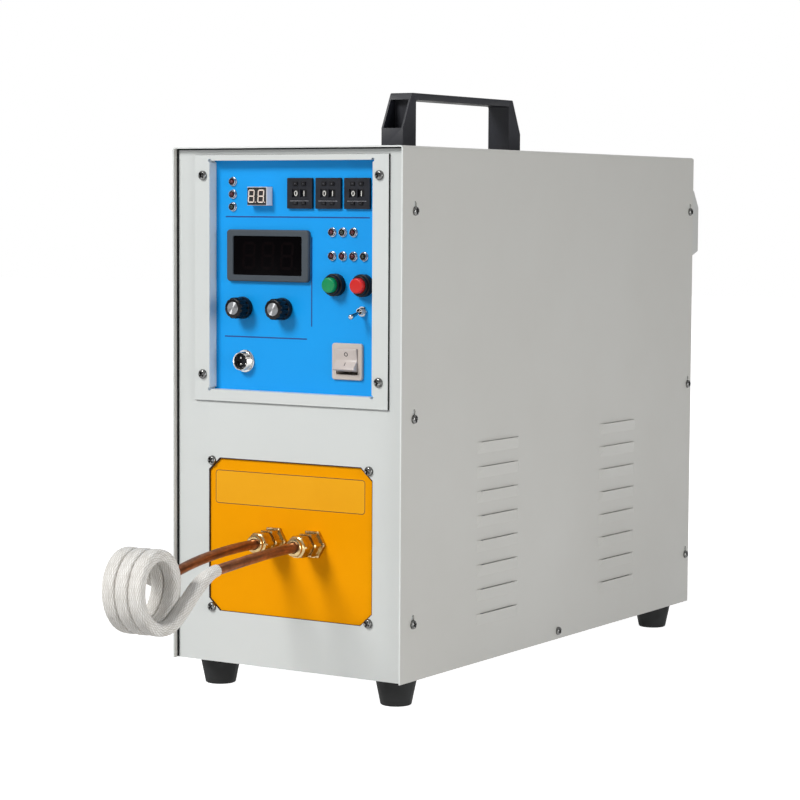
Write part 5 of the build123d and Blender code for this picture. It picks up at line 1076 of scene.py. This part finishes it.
def winding(turn):
    """Point and direction of the tube's middle; turn 0 is the lowest point on the right."""
    angle = 2 * math.pi * turn
    point = Vector((-coil_pitch * turn, -coil_radius * math.sin(angle), -coil_radius * math.cos(angle)))
    way = Vector((-coil_pitch / (2 * math.pi), -coil_radius * math.cos(angle),
                  coil_radius * math.sin(angle)))
    swing = Matrix.Rotation(coil_yaw, 3, "Z")
    return coil_start + swing @ point, (swing @ way).normalized()


stations = [(Vector((fitting_x[1], -16, fitting_z)), Vector((0, -1, 0))),
            (Vector((fitting_x[1], -24, fitting_z)), Vector((0, -1, 0))),
            (Vector((27.0, -131.0, 103.2)), Vector((0, -1, -0.08)).normalized())]
stations += [winding(turn) for turn in [-0.1] + [quarter / 4 for quarter in range(11)] + [2.667]]
stations += [(Vector((-10.5, -149.0, 95.6)), Vector((-0.08, 1, 0.24)).normalized()),
             (Vector((fitting_x[0], -24, fitting_z)), Vector((0, 1, 0))),
             (Vector((fitting_x[0], -16, fitting_z)), Vector((0, 1, 0)))]


def tube_path(name, places):
    """A curve through the places, each stretch between two of them close to an arc."""
    line = bpy.data.curves.new(name, "CURVE")
    line.dimensions = "3D"
    spline = line.splines.new("BEZIER")
    spline.bezier_points.add(len(places) - 1)
    for knot, (point, _) in zip(spline.bezier_points, places):
        knot.handle_left_type = knot.handle_right_type = "FREE"
        knot.co = knot.handle_left = knot.handle_right = place(*point)
    for (near, far), ((start, start_way), (end, end_way)) in zip(
        zip(spline.bezier_points, spline.bezier_points[1:]), zip(places, places[1:])
    ):
        angle = start_way.angle(end_way)
        chord = (end - start).length
        reach = chord / 3 if angle < 0.01 else chord * 2 / 3 * math.tan(angle / 4) / math.sin(angle / 2)
        near.handle_right = place(*(start + start_way * reach))
        far.handle_left = place(*(end - end_way * reach))
    base = bpy.data.objects.new(name, line)
    scene.collection.objects.link(base)
    return base


tube_tree, given, result = node_group(
    "tube_along_path",
    "GeometryNodeTree",
    (
        ("Geometry", "NodeSocketGeometry", None),
        ("Radius", "NodeSocketFloat", 0.004),
        ("Sides", "NodeSocketInt", 32),
        ("Rings", "NodeSocketInt", 400),
        ("Strands", "NodeSocketInt", 18),
        ("Strand Step", "NodeSocketFloat", 0.0024),
        ("Relief", "NodeSocketFloat", 0.0),
        ("Unevenness", "NodeSocketFloat", 0.0),
        ("Flat Across", "NodeSocketVector", (1, 0, 0)),
        ("Half Width", "NodeSocketFloat", 0.004),
        ("Half Thickness", "NodeSocketFloat", 0.004),
        ("Squareness", "NodeSocketFloat", 2.0),
        ("Taper Length", "NodeSocketFloat", 0.001),
        ("Finish", "NodeSocketMaterial", None),
    ),
    (("Geometry", "NodeSocketGeometry"),),
)


def sum_of(kind, first, second=0.0, third=0.0):
    """A sum in the tube's tree."""
    return add_node(tube_tree, "ShaderNodeMath", {0: first, 1: second, 2: third}, operation=kind).outputs[0]


even_path = add_node(tube_tree, "GeometryNodeResampleCurve", {"Curve": given.outputs["Geometry"],
                                                              "Count": given.outputs["Rings"]})
path_place = add_node(tube_tree, "GeometryNodeSplineParameter")
path_kept = add_node(tube_tree, "GeometryNodeCaptureAttribute", domain="POINT")
path_kept.capture_items.new("FLOAT", "along")
path_kept.capture_items.new("FLOAT", "whole_length")
tube_tree.links.new(even_path.outputs[0], path_kept.inputs[0])
tube_tree.links.new(path_place.outputs["Length"], path_kept.inputs[1])
tube_tree.links.new(add_node(tube_tree, "GeometryNodeSplineLength").outputs["Length"], path_kept.inputs[2])
section = add_node(tube_tree, "GeometryNodeCurvePrimitiveCircle",
                   {"Resolution": given.outputs["Sides"], "Radius": given.outputs["Radius"]})
section_place = add_node(tube_tree, "GeometryNodeSplineParameter")
section_kept = add_node(tube_tree, "GeometryNodeCaptureAttribute", domain="POINT")
section_kept.capture_items.new("FLOAT", "around")
tube_tree.links.new(section.outputs[0], section_kept.inputs[0])
tube_tree.links.new(section_place.outputs["Factor"], section_kept.inputs[1])
wall = add_node(tube_tree, "GeometryNodeCurveToMesh",
                {"Curve": path_kept.outputs[0], "Profile Curve": section_kept.outputs[0],
                 "Fill Caps": True})
across = sum_of("MULTIPLY", section_kept.outputs[1], given.outputs["Strands"])
down = sum_of("DIVIDE", path_kept.outputs[1], given.outputs["Strand Step"])
left_way, right_way = sum_of("ADD", across, down), sum_of("SUBTRACT", across, down)
order = sum_of("MODULO",
               sum_of("ABSOLUTE", sum_of("ADD", sum_of("FLOOR", left_way), sum_of("FLOOR", right_way))),
               2.0)
humps = [sum_of("SINE", sum_of("MULTIPLY", sum_of("FRACT", way), math.pi)) for way in (left_way, right_way)]
over = [sum_of("MULTIPLY", sum_of("POWER", humps[i], 0.5), sum_of("MULTIPLY_ADD", humps[1 - i], 0.5, 0.5))
        for i in (0, 1)]
swap = sum_of("LESS_THAN", order, 0.5)
weave = sum_of("ADD", sum_of("MULTIPLY", over[0], swap),
               sum_of("MULTIPLY", over[1], sum_of("SUBTRACT", 1.0, swap)))
waves = add_node(tube_tree, "ShaderNodeTexNoise", {"Scale": 90.0, "Detail": 1.0})
ripple = sum_of("MULTIPLY", sum_of("SUBTRACT", waves.outputs[0], 0.5), given.outputs["Unevenness"])
wall_normal = add_node(tube_tree, "GeometryNodeInputNormal").outputs[0]
lean_over = add_node(tube_tree, "ShaderNodeVectorMath", {0: wall_normal, 1: given.outputs["Flat Across"]},
                     operation="DOT_PRODUCT").outputs["Value"]
wide = sum_of("ABSOLUTE", lean_over)
thick = sum_of("SQRT", sum_of("MAXIMUM", sum_of("SUBTRACT", 1.0, sum_of("MULTIPLY", wide, wide)), 0.0))
share = [sum_of("POWER", sum_of("DIVIDE", way, given.outputs[half]), given.outputs["Squareness"])
         for way, half in ((wide, "Half Width"), (thick, "Half Thickness"))]
reach = sum_of("POWER", sum_of("ADD", share[0], share[1]),
               sum_of("DIVIDE", -1.0, given.outputs["Squareness"]))
to_end = sum_of("MINIMUM", path_kept.outputs[1],
                sum_of("SUBTRACT", path_kept.outputs[2], path_kept.outputs[1]))
full = add_node(tube_tree, "ShaderNodeMapRange",
                {"Value": to_end, "From Max": given.outputs["Taper Length"]},
                interpolation_type="SMOOTHSTEP").outputs[0]
bulk = sum_of("MULTIPLY", sum_of("SUBTRACT", reach, given.outputs["Radius"]), full)
height = sum_of("ADD", sum_of("ADD", sum_of("MULTIPLY", weave, given.outputs["Relief"]), ripple), bulk)
outward = add_node(tube_tree, "ShaderNodeVectorMath", {0: wall_normal, "Scale": height}, operation="SCALE")
moved = add_node(tube_tree, "GeometryNodeSetPosition",
                 {"Geometry": wall.outputs[0], "Offset": outward.outputs[0]})
marked = add_node(tube_tree, "GeometryNodeStoreNamedAttribute",
                  {"Geometry": moved.outputs[0], "Name": "weave", "Value": weave}, data_type="FLOAT",
                  domain="POINT")
round_angle = sum_of("MULTIPLY", section_kept.outputs[1], 2 * math.pi)
fibre_place = add_node(tube_tree, "ShaderNodeCombineXYZ",
                       {"X": sum_of("COSINE", round_angle), "Y": sum_of("SINE", round_angle),
                        "Z": sum_of("MULTIPLY", path_kept.outputs[1], 100.0)})
measured = add_node(tube_tree, "GeometryNodeStoreNamedAttribute",
                    {"Geometry": marked.outputs[0], "Name": "fibre", "Value": fibre_place.outputs[0]},
                    data_type="FLOAT_VECTOR", domain="POINT")
whole = add_node(tube_tree, "GeometryNodeRealizeInstances", {0: measured.outputs[0]})
painted = add_node(tube_tree, "GeometryNodeSetMaterial",
                   {0: whole.outputs[0], "Material": given.outputs["Finish"]})
tube_tree.links.new(painted.outputs[0], result.inputs[0])


def streaked(material, fineness, dark, strength):
    """Lets darker streaks run along a tube or sleeve, from its stored fibre attribute."""
    tree = material.node_tree
    shader = tree.nodes["Principled BSDF"]
    line = add_node(tree, "ShaderNodeAttribute", attribute_name="fibre")
    fine = add_node(tree, "ShaderNodeVectorMath", {0: line.outputs["Vector"], 1: fineness},
                    operation="MULTIPLY")
    streaks = add_node(tree, "ShaderNodeTexNoise", {"Vector": fine.outputs[0], "Scale": 1.0, "Detail": 3.0})
    depth = add_node(tree, "ShaderNodeMapRange",
                     {"Value": streaks.outputs[0], "From Min": 0.38, "From Max": 0.66, "To Max": strength})
    plain = shader.inputs["Base Color"].links[0].from_socket
    mixed = add_node(tree, "ShaderNodeMix", {"Factor": depth.outputs[0], 6: plain, 7: dark},
                     data_type="RGBA")
    tree.links.new(mixed.outputs[2], shader.inputs["Base Color"])


copper = finish("browned_copper", srgb(168, 100, 58), srgb(122, 70, 36), share=0.8, patch=0.006,
                grain=0.0006, depth=0.00004, rough=(0.32, 0.5), metallic=0.7)
streaked(copper, (1.8, 1.8, 0.35), srgb(62, 34, 20), 0.75)
tube = grown(tube_path("tube_line", stations), tube_tree,
             {"Radius": tube_radius / 1000, "Sides": 28, "Rings": 420, "Unevenness": 0.00012,
              "Half Width": tube_radius / 1000, "Half Thickness": tube_radius / 1000, "Finish": copper})
piece("coil_tube", tube, copper, stands_for=("work_coil",), sharp=60)

braid = finish("glass_braid", srgb(250, 249, 246), srgb(236, 232, 226), share=0.6, patch=0.012,
               grain=0.0004, depth=0.0001, rough=(0.55, 0.75), specular_ior_level=0.3)
# The strands are painted darker where they dip under the others: painted shade in the weave's hollows.
depth_of = add_node(braid.node_tree, "ShaderNodeAttribute", attribute_name="weave")
shadowed = add_node(braid.node_tree, "ShaderNodeMapRange",
                    {"Value": depth_of.outputs["Fac"], "From Min": 0.15, "From Max": 0.8, "To Min": 0.8,
                     "To Max": 0.0})
shader = braid.node_tree.nodes["Principled BSDF"]
plain_colour = shader.inputs["Base Color"].links[0].from_socket
darker = add_node(braid.node_tree, "ShaderNodeMix", {"Factor": shadowed.outputs[0], 6: plain_colour,
                                                     7: srgb(164, 154, 138)}, data_type="RGBA")
braid.node_tree.links.new(darker.outputs[2], shader.inputs["Base Color"])
streaked(braid, (7.0, 7.0, 1.1), srgb(150, 143, 132), 0.36)
sleeve = grown(tube_path("sleeve_line", stations[2:-2]), tube_tree,
               {"Radius": (tube_radius + 0.35) / 1000, "Sides": 80, "Rings": 1000, "Strands": 20,
                "Strand Step": 0.0052, "Relief": 0.0004, "Unevenness": 0.0005,
                "Flat Across": Matrix.Rotation(coil_yaw, 3, "Z") @ Vector((1, 0, 0)), "Half Width": 0.0058,
                "Half Thickness": 0.0047, "Squareness": 3.6, "Taper Length": 0.03, "Finish": braid})
piece("braided_sleeve", sleeve, braid, stands_for=("coil_sleeve",), sharp=70)

# Inside
# The control board on its posts, the output transformer behind the fittings, the tank capacitors
# and the inverter's heatsink with its power modules. They show only through the grille and the vents.
dress(finish("green_solder_resist", srgb(18, 92, 50), srgb(12, 70, 38), share=0.4, patch=0.02),
      "control_board")
dress(finish("ferrite", srgb(60, 60, 64), srgb(42, 42, 46), share=0.5, patch=0.01, rough=(0.5, 0.7)),
      "output_transformer")
dress(finish("capacitor_case", srgb(52, 78, 132), srgb(40, 62, 110), share=0.5, patch=0.03),
      "capacitor_bank")
dress(finish("extruded_aluminium", srgb(190, 191, 193), srgb(160, 161, 164), share=0.5, patch=0.02,
             stretch=(1, 0.05, 1), metallic=1.0), "inverter_heatsink")
dress(finish("hose_wall", srgb(58, 104, 170), srgb(44, 84, 146), share=0.4, patch=0.03), "water_hoses")

# Rear
# An axial fan behind the pressed grille, brass hose spigots for the cooling water, and a ribbed
# nylon gland under the hood for the mains cable.
dress(black, "fan_frame")
dress(finish("fan_moulding", srgb(26, 27, 30), srgb(44, 45, 48), share=0.5, patch=0.02, grain=0.0006,
             depth=0.00003, rough=(0.34, 0.5)), "fan_rotor")
dress(brass, "water_spigots")
dress(handle_nylon, "cable_gland")
